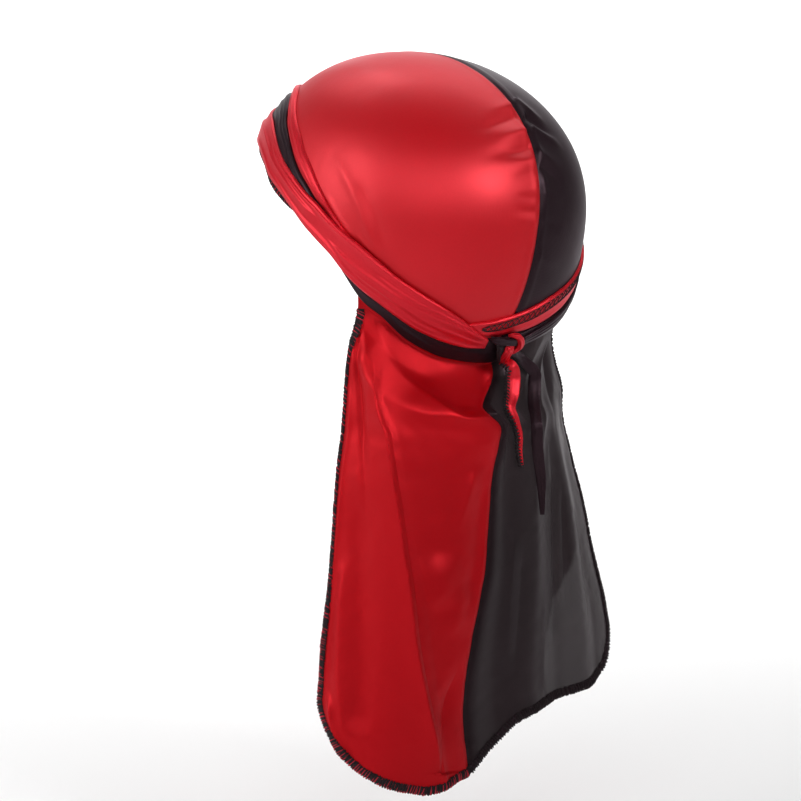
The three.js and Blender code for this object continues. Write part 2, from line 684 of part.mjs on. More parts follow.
function capePoint(across, share) {
  const angle = across < 0.5
    ? capeLeftAngle + (seamAngle - capeLeftAngle) * across * 2
    : seamAngle + (capeRightAngle - seamAngle) * (across * 2 - 1);
  const edge = heightOf(columnAt(crownEdge, 'angle', angle, 'height'));
  const turned = angle + seamTurn(angle, latitudeOf(edge));
  const shown = coveredDownTo(turned);
  const onDome = (height) => onHead(turned, height, -tuckDepth);
  if (share <= 0) {
    return onDome(edge - tuckGap + (edge - tuckGap - shown) * share);
  }
  const start = onDome(shown - tuckGap);
  const startDrop = -(start.z + seatHeight + capeHangLine) / capeLength;
  const bottomDrop = columnAt(capeBottom, 'across', across, 'drop');
  const drop = startDrop + (bottomDrop - startDrop) * share;
  const height = -seatHeight - capeHangLine - drop * capeLength;
  const hanging = outsideFlap(across, drop, 0);
  const release = smoothStep((start.z - height) / releaseLength);
  return new THREE.Vector3(
    start.x + (hanging.x - start.x) * release,
    start.y + (hanging.y - start.y) * release,
    height,
  );
}

// The outer face of the whole flap, left to right, and the inward direction at each point
function capeFace() {
  const hanging = spread(capeRows, 1 / capeRows ** 2, 1).map((share) => share ** rowEasing);
  const places = [...capeColumns, ...capeColumns.slice(0, -1).reverse().map((column) => 1 - column)];
  const points = [...tuckedRows, ...hanging].map((share) => places.map((across) => capePoint(across, share)));
  const inward = points.map((line, row) => line.map((point, column) => gridNormal(points, row, column)));
  return { points, inward };
}

// One half of it, from its side edge to the seam
function capeHalf(side) {
  const sideShift = new THREE.Vector3(side * pieceGap / 2, 0, 0);
  const seamColumn = capeColumns.length;
  const take = (line) => (side > 0 ? line.slice(0, seamColumn) : line.slice(seamColumn - 1).reverse());
  const face = capeFace();
  return {
    points: face.points.map((line) => take(line).map((point) => point.clone().add(sideShift))),
    inward: face.inward.map(take),
  };
}

function capePanel(side) {
  const half = capeHalf(side);
  const back = half.points.map((line, row) => line.map((point, column) => (
    point.clone().addScaledVector(half.inward[row][column], clothWall)
  )));
  return closedSheet(half.points, back);
}

// The overlocked strip down the side edge and along the bottom of one half of the flap
function capeHem(side) {
  const { points, inward } = capeHalf(side);
  const last = points.length - 1;
  const seamColumn = capeColumns.length - 1;
  const sideCells = spread(last - tuckedRows.length, tuckedRows.length, last).map((row) => [row, 0]);
  const bottomCells = spread(seamColumn - 1, 1, seamColumn).map((column) => [last, column]);
  const cells = [...sideCells, ...bottomCells];
  const path = cells.map(([row, column]) => points[row][column]);
  const outward = cells.map(([row, column], index) => {
    if (column === seamColumn) {
      return new THREE.Vector3(0, 0, -1);
    }
    const along = path[index + 1].clone().sub(path[Math.max(index - 1, 0)]);
    return inward[row][column].clone().cross(along).normalize().multiplyScalar(side);
  });
  const strip = (depth) => [0, 1].map((edge) => cells.map(([row, column], index) => (
    path[index].clone()
      .addScaledVector(outward[index], hemGap + edge * hemWidth)
      .addScaledVector(inward[row][column], depth)
  )));
  return closedSheet(strip((clothWall - hemThickness) / 2), strip((clothWall + hemThickness) / 2));
}

// How far across the flap a place at x lies, at a drop
function acrossAt(x, drop) {
  let low = 0;
  let high = 1;
  for (let step = 0; step < acrossSteps; step += 1) {
    const middle = (low + high) / 2;
    if (capePlan(middle, drop).x > x) {
      low = middle;
    } else {
      high = middle;
    }
  }
  return (low + high) / 2;
}

// A free end of a tie: it leaves the knot and then hangs on the flap
function tieTail(rows, length, width) {
  const start = rows[0];
  const at = (drop, column) => columnAt(rows, 'drop', drop, column);
  const knotHeight = heightOf(knotPlace.height);
  const knotFoot = knotHeight - knotTurnHeight / 2 - tieGap;
  const arcOfDegree = THREE.MathUtils.degToRad(crownHalfLength * levelFullness(knotHeight));
  const point = (share, side, standoff) => {
    const angle = start.angle - side * width * start.width / arcOfDegree;
    const top = onHead(angle, knotFoot, layerStandoff(1) + standoff);
    const height = top.z - share * length;
    const x = top.x + at(share, 'x') * length + side * width * (at(share, 'width') - start.width);
    const drop = (-height - seatHeight - capeHangLine) / capeLength;
    const across = acrossAt(x, drop);
    const lift = at(share, 'twist') * side * width;
    const hung = outsideFlap(across, drop, tailGap + standoff + lift);
    const settle = smoothStep(share / tailSettle);
    return new THREE.Vector3(
      top.x + (hung.x - top.x) * settle,
      top.y + (hung.y - top.y) * settle,
      height,
    );
  };
  const grid = (standoff) => [-0.5, 0, 0.5].map((side) => {
    const rise = side === 0 ? pleatRise : 0;
    return spread(tailRows, 0, 1).map((share) => point(share, side, standoff + rise));
  });
  return closedSheet(grid(tailWall), grid(0));
}

// A turn of the knot: a rounded band through places on the nape
function knotTurn(places, height, depth) {
  const seat = layerStandoff(1) + pieceGap + depth / 2;
  const path = new THREE.CatmullRomCurve3(places.map((place) => (
    onHead(place.angle, heightOf(place.height), seat + place.rise * knotRise)
  )));
  const middle = onHead(seamAngle, heightOf(knotPlace.height), -crownHalfLength);
  const rings = spread(knotSteps, 0, 1).map((share) => {
    const centre = path.getPoint(share);
    const along = path.getTangent(share);
    const outward = centre.clone().sub(middle).normalize();
    const up = outward.clone().cross(along).normalize();
    const out = along.clone().cross(up).normalize();
    return spread(knotSides, 0, 2 * Math.PI).map((turn) => (
      centre.clone()
        .addScaledVector(up, Math.cos(turn) * height / 2)
        .addScaledVector(out, Math.sin(turn) * depth / 2)
    ));
  });
  return closedTube(rings);
}

const red = new THREE.MeshStandardMaterial({ color: 0xb01624, roughness: 0.35, metalness: 0 });
const black = new THREE.MeshStandardMaterial({ color: 0x1f1a1c, roughness: 0.4, metalness: 0 });
const overlock = new THREE.MeshStandardMaterial({ color: 0x2c1a1f, roughness: 0.8, metalness: 0 });

const durag = new THREE.Group();

function add(name, geometry, material) {
  const mesh = new THREE.Mesh(geometry, material);
  mesh.name = name;
  durag.add(mesh);
}

add('crown_left', crownPanel(frontAngle, seamAngle, pieceGap / 2), red);
add('crown_right', crownPanel(seamAngle, seamAngle + 180, -pieceGap / 2), black);
add('front_hem', frontHem(), overlock);
add('crown_pleat', tieLeg(pleatLeg, plainPleats, 0), red);
add('tie_black_lower', tieLeg(blackLowerLeg, plainPleats, 0), black);
add('tie_black_upper', tieLeg(blackUpperLeg, plainPleats, 0.2), black);
add('tie_red_crossing', tieLeg(redCrossingLeg, crossingPleats, 0), red);
add('tie_red_wrap', tieLeg(redWrapLeg, wrapPleats, 0.2), red);
add('cape_left', capePanel(1), red);
add('cape_right', capePanel(-1), black);
add('cape_hem_left', capeHem(1), overlock);
add('cape_hem_right', capeHem(-1), overlock);
add('knot_black', knotTurn(blackTurn, knotTurnHeight, knotTurnDepth), black);
add('knot_red', knotTurn(redTurn, knotLoopThickness, knotLoopThickness), red);
add('tail_red', tieTail(redTailRows, tailRedLength, tailRedWidth), red);
add('tail_black', tieTail(blackTailRows, tailBlackLength, tailBlackWidth), black);

export default durag;
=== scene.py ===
"""The looks of a worn two-colour satin durag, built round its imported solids.

Shapes are worked out in millimetres in the part's own axes and become metres when a mesh is made.
"""

import bpy
import numpy as np
from mathutils import Matrix, Vector


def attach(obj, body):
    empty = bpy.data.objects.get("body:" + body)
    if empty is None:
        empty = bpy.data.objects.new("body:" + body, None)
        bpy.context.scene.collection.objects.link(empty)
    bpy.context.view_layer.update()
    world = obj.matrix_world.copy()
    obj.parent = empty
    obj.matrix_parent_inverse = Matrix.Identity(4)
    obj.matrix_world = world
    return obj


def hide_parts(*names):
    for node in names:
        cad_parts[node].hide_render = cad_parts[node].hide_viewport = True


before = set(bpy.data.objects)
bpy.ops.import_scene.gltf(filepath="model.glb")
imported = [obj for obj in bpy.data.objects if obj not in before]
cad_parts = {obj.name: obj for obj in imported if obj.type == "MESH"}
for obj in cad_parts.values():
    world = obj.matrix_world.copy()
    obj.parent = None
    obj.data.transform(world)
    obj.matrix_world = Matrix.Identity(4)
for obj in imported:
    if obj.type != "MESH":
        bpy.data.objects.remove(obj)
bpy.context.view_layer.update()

# Sizes in mm and angles in degrees, the same as the solid model's
HALF_WIDTH, HALF_LENGTH, FRONT_LENGTH = 78.6, 101.2, 97.0
RISE, NAPE_DROP = 81.8, 98.6
TILT = np.radians(-5.5)
SECTION, PLAN = 2.14, 2.14
BACK_SWELL, SEAM_DRIFT, SEAM_FLATTEN, SEAM_NARROW = 0.087, 8.0, 4, 3
DOME_WALL = 1.2
SEAT = RISE - DOME_WALL
CAPE_LENGTH, HANG_LINE, HALF_SPREAD, STANDOFF = 251.0, 43.0, 96.0, 90.0
SEAM_SHARE, LEFT_SWEEP, RIGHT_SWEEP = 0.5, 90.0, 60.0
NAPE_ANGLE, FRONT_ANGLE, FLAP_LEFT_ANGLE, FLAP_RIGHT_ANGLE = 90.0, -90.0, 25.0, 152.0
TIE_GAP, TIE_WALL, LAYER_STEP = 0.5, 1.0, 1.7
TUCK_GAP, TUCK_DEPTH = 1.8, 0.5
MM = 0.001


def table(columns, text):
    """A table of numbers: names of the columns, and a row for each line."""
    rows = [[float(word) for word in line.split()] for line in text.strip().splitlines()]
    return {name: np.array([row[at] for row in rows]) for at, name in enumerate(columns.split())}


def hermite(t, start, end, first_slope, last_slope, span=1):
    """A smooth curve between two values, with a slope at each."""
    return ((2 * t**3 - 3 * t**2 + 1) * start + (3 * t**2 - 2 * t**3) * end
            + ((t**3 - 2 * t**2 + t) * first_slope + (t**3 - t**2) * last_slope) * span)


def eased(rows, place, name):
    """Value of a named column at a place along the first column, eased through the rows."""
    x, y = next(iter(rows.values())), rows[name]
    place = np.asarray(place, float)
    low = np.clip(np.searchsorted(x, place) - 1, 0, len(x) - 2)
    each = np.arange(len(x))
    before, after = np.maximum(each - 1, 0), np.minimum(each + 1, len(x) - 1)
    slope = (y[after] - y[before]) / (x[after] - x[before])
    span = x[low + 1] - x[low]
    t = np.clip((place - x[low]) / span, 0, 1)
    return hermite(t, y[low], y[low + 1], slope[low], slope[low + 1], span)


def smooth(share):
    """A share from 0 to 1 with its ends eased."""
    share = np.clip(share, 0, 1)
    return share * share * (3 - 2 * share)


# Angles round the dome: 0 is left, 90 the nape, 180 right, -90 and 270 the front. Heights are shares
# of RISE over the widest line and of NAPE_DROP under it. Layer 1 lies over layer 0.
CROWN_EDGE = table("angle height", """
-90 .355
-70 .34
-50 .325
-35 .295
-25 .25
-16 .145
-8 .08
0 .025
6 -.03
12 -.09
18 -.16
28 -.305
36 -.405
43 -.485
50 -.55
59 -.59
70 -.62
90 -.63
96 -.625
102 -.59
108 -.55
120 -.49
131 -.435
140 -.36
151 -.245
162 -.12
174 -.02
180 .025
188 .08
196 .145
205 .25
215 .295
230 .325
250 .34
270 .355
""")

RED_WRAP = table("angle upper lower layer", """
-105 .575 .385 1
-90 .565 .36 1
-70 .545 .34 1
-50 .525 .335 1
-32 .495 .31 1
-22 .43 .245 1
-15 .36 .17 1
-7.5 .28 .105 1
-1 .215 .035 1
6 .14 -.05 1
12 .08 -.115 1
18 0 -.18 1
23 -.05 -.255 1
29 -.105 -.33 1
35 -.17 -.39 1
41 -.24 -.45 1
49 -.315 -.52 1
59 -.4 -.575 1
68 -.48 -.605 1
73 -.525 -.61 1
77.5 -.56 -.612 1
""")
RED_CROSSING = table("angle upper lower layer", """
67 -.485 -.535 0
72 -.475 -.547 0
77 -.465 -.553 0
82 -.45 -.555 0
88 -.43 -.545 0
96 -.393 -.535 0
103 -.355 -.51 0
111 -.315 -.472 0
120 -.265 -.425 0
130 -.195 -.355 0
140 -.11 -.275 0
150 -.01 -.165 0
160 .12 -.05 0
170 .255 .073 0
180 .37 .195 0
190 .47 .305 0
200 .56 .4 0
208 .625 .474 0
222 .65 .498 1
230 .645 .49 1
240 .625 .455 1
250 .595 .415 1
255 .575 .385 1
""")
BLACK_LOWER = table("angle upper lower layer", """
-75 .6 .42 0
-60 .645 .47 0
-50 .66 .49 0
-38 .655 .49 0
-28 .6 .45 0
-21 .525 .375 0
-12 .43 .285 0
-6 .34 .2 0
0 .25 .1 0
5 .18 .03 0
9 .115 -.05 0
14 .045 -.115 0
18 -.03 -.185 0
22.5 -.1 -.28 0
28.5 -.2 -.4 0
36 -.29 -.48 0
43 -.385 -.57 0
50 -.455 -.63 0
59 -.52 -.68 0
68 -.554 -.705 0
75 -.568 -.72 0
82 -.575 -.728 0
89 -.575 -.73 0
96 -.553 -.7 0
102 -.53 -.65 0
108 -.505 -.6 0
114 -.475 -.56 0
120 -.44 -.53 0
130 -.37 -.475 0
140 -.29 -.405 0
150 -.18 -.305 0
160 -.065 -.185 0
170 .055 -.06 0
176 .125 .01 0
""")
BLACK_UPPER = table("angle upper lower layer", """
97 -.565 -.625 1
104 -.525 -.6 1
112 -.482 -.575 1
121 -.43 -.555 1
131 -.335 -.51 1
139.5 -.24 -.45 1
145 -.17 -.39 1
151 -.105 -.33 1
157 -.05 -.255 1
162 0 -.18 1
168 .08 -.115 1
174 .14 -.05 1
181 .215 .035 1
187.5 .28 .105 1
195 .36 .17 1
202 .415 .24 1
208 .45 .28 1
222 .472 .295 0
230 .475 .3 0
240 .485 .31 0
255 .51 .33 0
270 .56 .37 0
285 .6 .42 0
""")
FRONT_FOLD = table("angle upper lower layer", """
-74 .69 .655 0
-60 .71 .665 0
-45 .715 .675 0
-34 .695 .65 0
-25 .645 .585 0
-16 .57 .49 0
-6 .465 .355 0
0 .375 .265 0
5 .3 .195 0
11 .18 .1 0
15 .095 .05 0
18 .035 -.005 0
21 -.02 -.045 0
24 -.07 -.085 0
""")

# The flap in shares: drop of CAPE_LENGTH, x of HALF_SPREAD, y of STANDOFF, across from left to right
CAPE_LEVELS = table("drop leftx lefty seamx seamy rightx righty", """
0 .72 .44 .03 .82 -.6 .46
.134 .75 .4 .05 .79 -.61 .465
.17 .76 .4 .095 .81 -.62 .48
.228 .775 .41 .19 .88 -.65 .51
.268 .785 .41 .105 .93 -.65 .51
.3 .8 .41 .115 .935 -.66 .51
.374 .83 .41 .155 .935 -.705 .53
.484 .865 .42 .19 .945 -.77 .57
.58 .895 .43 .23 .955 -.815 .595
.713 .94 .435 .325 .955 -.893 .632
.85 .99 .445 .385 .955 -.935 .655
1 1 .465 .365 .99 -.96 .68
""")
CAPE_BOTTOM = table("across drop", """
0 .83
.03 .862
.07 .892
.11 .922
.15 .947
.2 .967
.26 .985
.32 .995
.37 1
.42 .99
.46 .98
.5 .975
.53 .952
.57 .925
.62 .888
.68 .877
.75 .872
.84 .866
.9 .858
.95 .84
1 .78
""")


def height_of(share):
    """Height over the widest line, from a share of the dome's rise or of its drop at the nape."""
    return np.where(share > 0, share * RISE, share * NAPE_DROP)


def fullness(height):
    reach = np.where(height > 0, RISE, NAPE_DROP)
    return np.maximum(1 - np.abs(height / reach) ** SECTION, 0) ** (1 / SECTION)


def plan_reach(x, y):
    across = np.abs(x) / (HALF_WIDTH * (1 + BACK_SWELL * y / HALF_LENGTH))
    along = np.abs(y) / np.where(y < 0, FRONT_LENGTH, HALF_LENGTH)
    return (across**PLAN + along**PLAN) ** (1 / PLAN)


def inside(point):
    x, y, z = np.moveaxis(point, -1, 0)
    return plan_reach(x, y) ** SECTION + np.abs(z / np.where(z > 0, RISE, NAPE_DROP)) ** SECTION


def unit(vectors):
    return vectors / np.maximum(np.linalg.norm(vectors, axis=-1, keepdims=True), 1e-9)


def dome_normal(point):
    steps = 0.05 * np.eye(3)
    return unit(np.stack([inside(point + step) - inside(point - step) for step in steps], -1))


def settled(point):
    """From the dome's own axes to the part's: tipped back, with the seat at the origin."""
    x, y, z = np.moveaxis(point, -1, 0)
    c, s = np.cos(TILT), np.sin(TILT)
    return np.stack([x, y * c - z * s, y * s + z * c - SEAT], -1)


def stood_off(point, standoff):
    return settled(point + dome_normal(point) * standoff[..., None])


def dome_plan(angle, full):
    c, s = np.cos(np.radians(angle)), np.sin(np.radians(angle))
    around = (np.abs(c)**PLAN + np.abs(s)**PLAN) ** (-1 / PLAN)
    y = np.where(s < 0, FRONT_LENGTH, HALF_LENGTH) * full * around * s
    return HALF_WIDTH * full * around * c * (1 + BACK_SWELL * y / HALF_LENGTH), y


def on_dome(angle, height, standoff=0.0):
    """A point round the dome's plain form at an angle and height, standing off it by a distance."""
    angle, height, standoff = np.broadcast_arrays(angle, height, standoff)
    x, y = dome_plan(angle, fullness(height))
    point = np.stack([x, y, height], -1)
    return stood_off(point, standoff)


def latitude_of(height):
    return np.arctan2(height / np.where(height > 0, RISE, NAPE_DROP), fullness(height))


def seam_turn(angle, latitude):
    """How far an angle is turned because the seam drifts sideways over the dome."""
    rise = np.sin(latitude)
    shift = SEAM_DRIFT * (rise - np.maximum(rise, 0) ** SEAM_FLATTEN)
    turn = np.degrees(np.arctan2(shift, HALF_WIDTH * np.cos(latitude)))
    return turn * np.sin(np.radians(angle)) ** SEAM_NARROW


def on_crown(angle, latitude, standoff=0.0):
    """A point on the dome at an angle and latitude, with the seam's drift."""
    angle, latitude, standoff = np.broadcast_arrays(angle, latitude, standoff)
    c, s = np.abs(np.cos(latitude)), np.sin(latitude)
    around = (c**SECTION + np.abs(s)**SECTION) ** (-1 / SECTION)
    x, y = dome_plan(angle + seam_turn(angle, latitude), around * c)
    x = x - SEAM_DRIFT * np.maximum(s, 0) ** SEAM_FLATTEN
    full = np.minimum(plan_reach(x, y), 1)
    height = np.where(s > 0, RISE, -NAPE_DROP) * (1 - full**SECTION) ** (1 / SECTION)
    point = np.stack([x, y, height], -1)
    return stood_off(point, standoff)


def cape_level(drop):
    """Left edge, seam and right edge of the hanging flap in plan, at a drop."""
    return [np.stack([eased(CAPE_LEVELS, drop, name + "x") * HALF_SPREAD,
                      eased(CAPE_LEVELS, drop, name + "y") * STANDOFF], -1) for name in ("left", "seam", "right")]


def cape_plan(across, drop):
    """The flap in plan, at a share across and a drop: an arc from the seam to each edge."""
    across, drop = np.broadcast_arrays(np.asarray(across, float), np.asarray(drop, float))
    left, seam, right = cape_level(drop)
    is_left = across < SEAM_SHARE
    side = np.where(is_left[..., None], left, right)
    sweep = np.radians(np.where(is_left, LEFT_SWEEP, RIGHT_SWEEP))
    turn = sweep * np.abs(across - SEAM_SHARE) * 2
    shares = np.stack([np.sin(turn) / np.sin(sweep), (1 - np.cos(turn)) / (1 - np.cos(sweep))], -1)
    return seam + (side - seam) * shares


def outside_flap(across, drop, standoff):
    near = 0.05
    ahead, behind = cape_plan(np.minimum(across + near, 1), drop), cape_plan(np.maximum(across - near, 0), drop)
    outward = unit(np.stack([ahead[..., 1] - behind[..., 1], behind[..., 0] - ahead[..., 0]], -1))
    return cape_plan(across, drop) + outward * np.asarray(standoff)[..., None]


def covered_down_to(angle):
    """Height of the lowest tie edge at an angle, below which the flap shows."""
    lowest = np.full(np.shape(angle), 9.0)
    for leg in (RED_WRAP, BLACK_LOWER, BLACK_UPPER):
        here = (angle >= leg["angle"][0]) & (angle <= leg["angle"][-1])
        lowest = np.where(here, np.minimum(lowest, eased(leg, angle, "lower")), lowest)
    return height_of(lowest)


def flap_start(across):
    """Angle, dome edge height and lowest tie height where each column of the flap starts."""
    angle = np.where(across < SEAM_SHARE, FLAP_LEFT_ANGLE + (NAPE_ANGLE - FLAP_LEFT_ANGLE) * across * 2,
                     NAPE_ANGLE + (FLAP_RIGHT_ANGLE - NAPE_ANGLE) * (across * 2 - 1))
    edge = height_of(eased(CROWN_EDGE, angle, "height"))
    turned = angle + seam_turn(angle, latitude_of(edge))
    return turned, edge, covered_down_to(turned)


# ---- noise and folds
LINE_KNOTS, LINE_START = 997, 300
SHEET_KNOTS, SHEET_START = 211, 80


def wander(place, step, seed):
    """Smooth seeded noise from -1 to 1 along a line of places."""
    knots = np.random.RandomState(seed).uniform(-1, 1, LINE_KNOTS)
    at = np.asarray(place, float) / step + LINE_START
    low = np.floor(at).astype(int)
    share = smooth(at - low)
    return knots[low % LINE_KNOTS] * (1 - share) + knots[(low + 1) % LINE_KNOTS] * share


def rumple(u, v, step, seed):
    """The same over a surface."""
    knots = np.random.RandomState(seed).uniform(-1, 1, (SHEET_KNOTS, SHEET_KNOTS))
    x, y = np.asarray(u, float) / step + SHEET_START, np.asarray(v, float) / step + SHEET_START
    i, j = np.floor(x).astype(int), np.floor(y).astype(int)
    a, b = smooth(x - i), smooth(y - j)
    i, j = i % (SHEET_KNOTS - 1), j % (SHEET_KNOTS - 1)
    return ((knots[i, j] * (1 - a) + knots[i + 1, j] * a) * (1 - b)
            + (knots[i, j + 1] * (1 - a) + knots[i + 1, j + 1] * a) * b)


def bent(points, pieces=10):
    """A smooth line through points, with some pieces between each two."""
    points = np.asarray(points, float)
    each = np.arange(len(points))
    fine = np.linspace(0, len(points) - 1, pieces * (len(points) - 1) + 1)
    low = np.minimum(fine.astype(int), len(points) - 2)
    before, after = points[np.maximum(each - 1, 0)], points[np.minimum(each + 1, len(points) - 1)]
    slope = (after - before) / np.where((each == 0) | (each == len(points) - 1), 1, 2)[:, None]
    return hermite((fine - low)[:, None], points[low], points[low + 1], slope[low], slope[low + 1])


def beside(place, line):
    """How far each place is from a line, how far along it as a share, and which side, in its own plane."""
    line = bent(line)
    shape = place.shape[:-1]
    flat = place.reshape(-1, place.shape[-1])
    near = np.full(len(flat), 1e9)
    along, side = np.zeros(len(flat)), np.ones(len(flat))
    count = len(line) - 1
    for at in range(count):
        start, step = line[at], line[at + 1] - line[at]
        share = np.clip((flat - start) @ step / max(step @ step, 1e-12), 0, 1)
        off = flat - start - share[:, None] * step
        far = np.sqrt((off**2).sum(1))
        closer = far < near
        near = np.where(closer, far, near)
        along = np.where(closer, (at + share) / count, along)
        if flat.shape[1] == 2:
            side = np.where(closer, np.sign(step[0] * off[:, 1] - step[1] * off[:, 0]), side)
    return near.reshape(shape), along.reshape(shape), side.reshape(shape)


def fold(place, line, rise, left, right, fade, crisp):
    """A ridge along a line, with its own width on each side. A negative rise is a valley."""
    near, along, side = beside(place, line)
    width = np.where(side > 0, left, right)
    ends = smooth(along / max(fade[0], 1e-3)) * smooth((1 - along) / max(fade[1], 1e-3))
    return rise * np.exp(-(near / width) ** crisp) * ends


# ---- meshes
def grid_faces(rows, columns, ring=False, start=0):
    r, c = np.meshgrid(np.arange(rows - 1), np.arange(columns if ring else columns - 1), indexing="ij")
    a, b = r * columns + c, r * columns + (c + 1) % columns
    return np.stack([a, b, b + columns, a + columns], -1).reshape(-1, 4) + start


def capped(rings):
    """Faces of a closed tube of rings."""
    rows, sides = rings.shape[:2]
    last = (rows - 1) * sides
    return [*grid_faces(rows, sides, ring=True), list(range(sides))[::-1], list(range(last, last + sides))]


def piece(name, points, faces, look, uv, marks=None):
    """A smooth mesh from points in mm, riding on the part. A look is a material and a slot name; the slot name is
    not used.
    """
    material, slot = look
    mesh = bpy.data.meshes.new(name)
    mesh.from_pydata((np.asarray(points).reshape(-1, 3) * MM).tolist(), [], [list(map(int, f)) for f in faces])
    mesh.update()
    mesh.polygons.foreach_set("use_smooth", np.ones(len(mesh.polygons), bool))
    corner = np.empty(len(mesh.loops), np.int32)
    mesh.loops.foreach_get("vertex_index", corner)
    layer = mesh.uv_layers.new(name="cloth")
    layer.data.foreach_set("uv", (np.asarray(uv).reshape(-1, 2)[corner]).astype(np.float32).ravel())
    for key, values in (marks or {}).items():
        mark = mesh.attributes.new(key, "FLOAT", "POINT")
        mark.data.foreach_set("value", np.asarray(values, np.float32).ravel())
    mesh.materials.append(material)
    item = bpy.data.objects.new(name, mesh)
    bpy.context.scene.collection.objects.link(item)
    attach(item, "root")
    return item


def flat_uv(points):
    """Cloth lengths along both ways of a grid of points, in mm."""
    across = np.linalg.norm(np.diff(points, axis=1), axis=-1)
    down = np.linalg.norm(np.diff(points, axis=0), axis=-1)
    u = np.concatenate([np.zeros((points.shape[0], 1)), np.cumsum(across, 1)], 1)
    v = np.concatenate([np.zeros((1, points.shape[1])), np.cumsum(down, 0)], 0)
    return np.stack([u, v], -1)


def grid_normal(points):
    down = np.gradient(points, axis=0)
    along = np.gradient(points, axis=1)
    return unit(np.cross(along, down))


def threads(name, paths, radius, look, facing, sides=5):
    """Many round threads in one mesh. paths is (threads, points, 3), facing a direction for each point."""
    paths = np.asarray(paths, float)
    count, length = paths.shape[:2]
    along = unit(np.gradient(paths, axis=1))
    facing = unit(facing - along * (facing * along).sum(-1, keepdims=True))
    side = np.cross(along, facing)
    turn = np.linspace(0, 2 * np.pi, sides, endpoint=False)
    ring = (paths[:, :, None] + radius * (np.cos(turn)[:, None] * facing[:, :, None]
                                          + np.sin(turn)[:, None] * side[:, :, None]))
    faces = np.concatenate([grid_faces(length, sides, True, at * length * sides) for at in range(count)])
    v = np.tile(np.arange(length), (count, 1)) / (length - 1)
    uv = np.stack(np.broadcast_arrays(v[:, :, None], turn[None, None]), -1)
    return piece(name, ring, faces, look, uv)


# ---- materials
class Nodes:
    """Adds nodes to a material and links them."""

    def __init__(self, name):
        self.material = bpy.data.materials.new(name)
        self.material.use_nodes = True
        self.tree = self.material.node_tree
        self.tree.nodes.clear()
        self.out = self.add("ShaderNodeOutputMaterial")

    def add(self, kind, inputs=None, **settings):
        node = self.tree.nodes.new(kind)
        for key, value in settings.items():
            setattr(node, key, value)
        for key, value in (inputs or {}).items():
            self.put(node.inputs[key], value)
        return node

    def put(self, socket, value):
        if isinstance(value, bpy.types.NodeSocket):
            self.tree.links.new(value, socket)
        else:
            socket.default_value = value

    def maths(self, operation, *values, clamp=False):
        node = self.add("ShaderNodeMath", operation=operation, use_clamp=clamp)
        for at, value in enumerate(values):
            self.put(node.inputs[at], value)
        return node.outputs[0]

    def blend(self, share, low, high):
        node = self.add("ShaderNodeMix", data_type="RGBA")
        self.put(node.inputs["Factor"], share)
        self.put(node.inputs["A"], low)
        self.put(node.inputs["B"], high)
        return node.outputs["Result"]


def tone(red, green, blue):
    """A colour as it looks on screen, for a shader."""
    def straight(value):
        value /= 255
        return value / 12.92 if value <= 0.04045 else ((value + 0.055) / 1.055) ** 2.4
    return (straight(red), straight(green), straight(blue), 1.0)


def satin(name, base, deep, gleam, rough, shine, metal, sheer=0.0):
    """Smooth satin: fine weave, slow changes of tone, soft wide shine. Sheer where the mark 'sheer' says."""
    n = Nodes(name)
    uv = n.add("ShaderNodeUVMap", uv_map="cloth").outputs["UV"]
    place = n.add("ShaderNodeTexCoord").outputs["Object"]
    slow = n.add("ShaderNodeTexNoise", {"Vector": place, "Scale": 14.0, "Detail": 3.0, "Roughness": 0.5})
    grain = n.add("ShaderNodeTexNoise", {"Vector": place, "Scale": 900.0, "Detail": 2.0})
    mixed = n.maths("ADD", n.maths("MULTIPLY", slow.outputs["Fac"], 0.7),
                    n.maths("MULTIPLY", grain.outputs["Fac"], 0.3))
    colour = n.blend(n.maths("MULTIPLY_ADD", mixed, 1.6, -0.3, clamp=True), deep, base)
    warp = n.add("ShaderNodeTexWave", {"Vector": uv, "Scale": 0.55, "Distortion": 0.4, "Detail": 1.0},
                 wave_type="BANDS", bands_direction="X")
    weft = n.add("ShaderNodeTexWave", {"Vector": uv, "Scale": 0.4, "Distortion": 0.4, "Detail": 1.0},
                 wave_type="BANDS", bands_direction="Y")
    cloth = n.maths("MULTIPLY", n.maths("ADD", warp.outputs["Fac"], weft.outputs["Fac"]), 0.5)
    ripple = n.add("ShaderNodeTexNoise", {"Vector": place, "Scale": 60.0, "Detail": 2.0, "Roughness": 0.45})
    bump = n.add("ShaderNodeBump", {"Height": cloth, "Strength": 0.1, "Distance": 0.0002})
    soft = n.add("ShaderNodeBump", {"Height": ripple.outputs["Fac"], "Strength": 0.12, "Distance": 0.002,
                                    "Normal": bump.outputs["Normal"]})
    body = n.add("ShaderNodeBsdfPrincipled", {
        "Base Color": colour, "Roughness": rough, "Specular IOR Level": shine, "Specular Tint": gleam,
        "Metallic": metal, "Anisotropic": 0.4, "Normal": soft.outputs["Normal"]})
    surface = body.outputs["BSDF"]
    if sheer:
        mark = n.add("ShaderNodeAttribute", attribute_name="sheer").outputs["Fac"]
        holes = n.add("ShaderNodeTexNoise", {"Vector": uv, "Scale": 1.3, "Detail": 2.0}).outputs["Fac"]
        streak = n.maths("MULTIPLY_ADD", holes, 2.4, -0.3)
        through = n.add("ShaderNodeBsdfTransparent", {"Color": (1, 0.97, 0.98, 1)})
        thin = n.maths("MULTIPLY", n.maths("MULTIPLY", mark, streak), sheer)
        mix = n.add("ShaderNodeMixShader", {"Fac": thin})
        n.put(mix.inputs[1], surface)
        n.put(mix.inputs[2], through.outputs["BSDF"])
        surface = mix.outputs["Shader"]
    n.put(n.out.inputs["Surface"], surface)
    return n.material


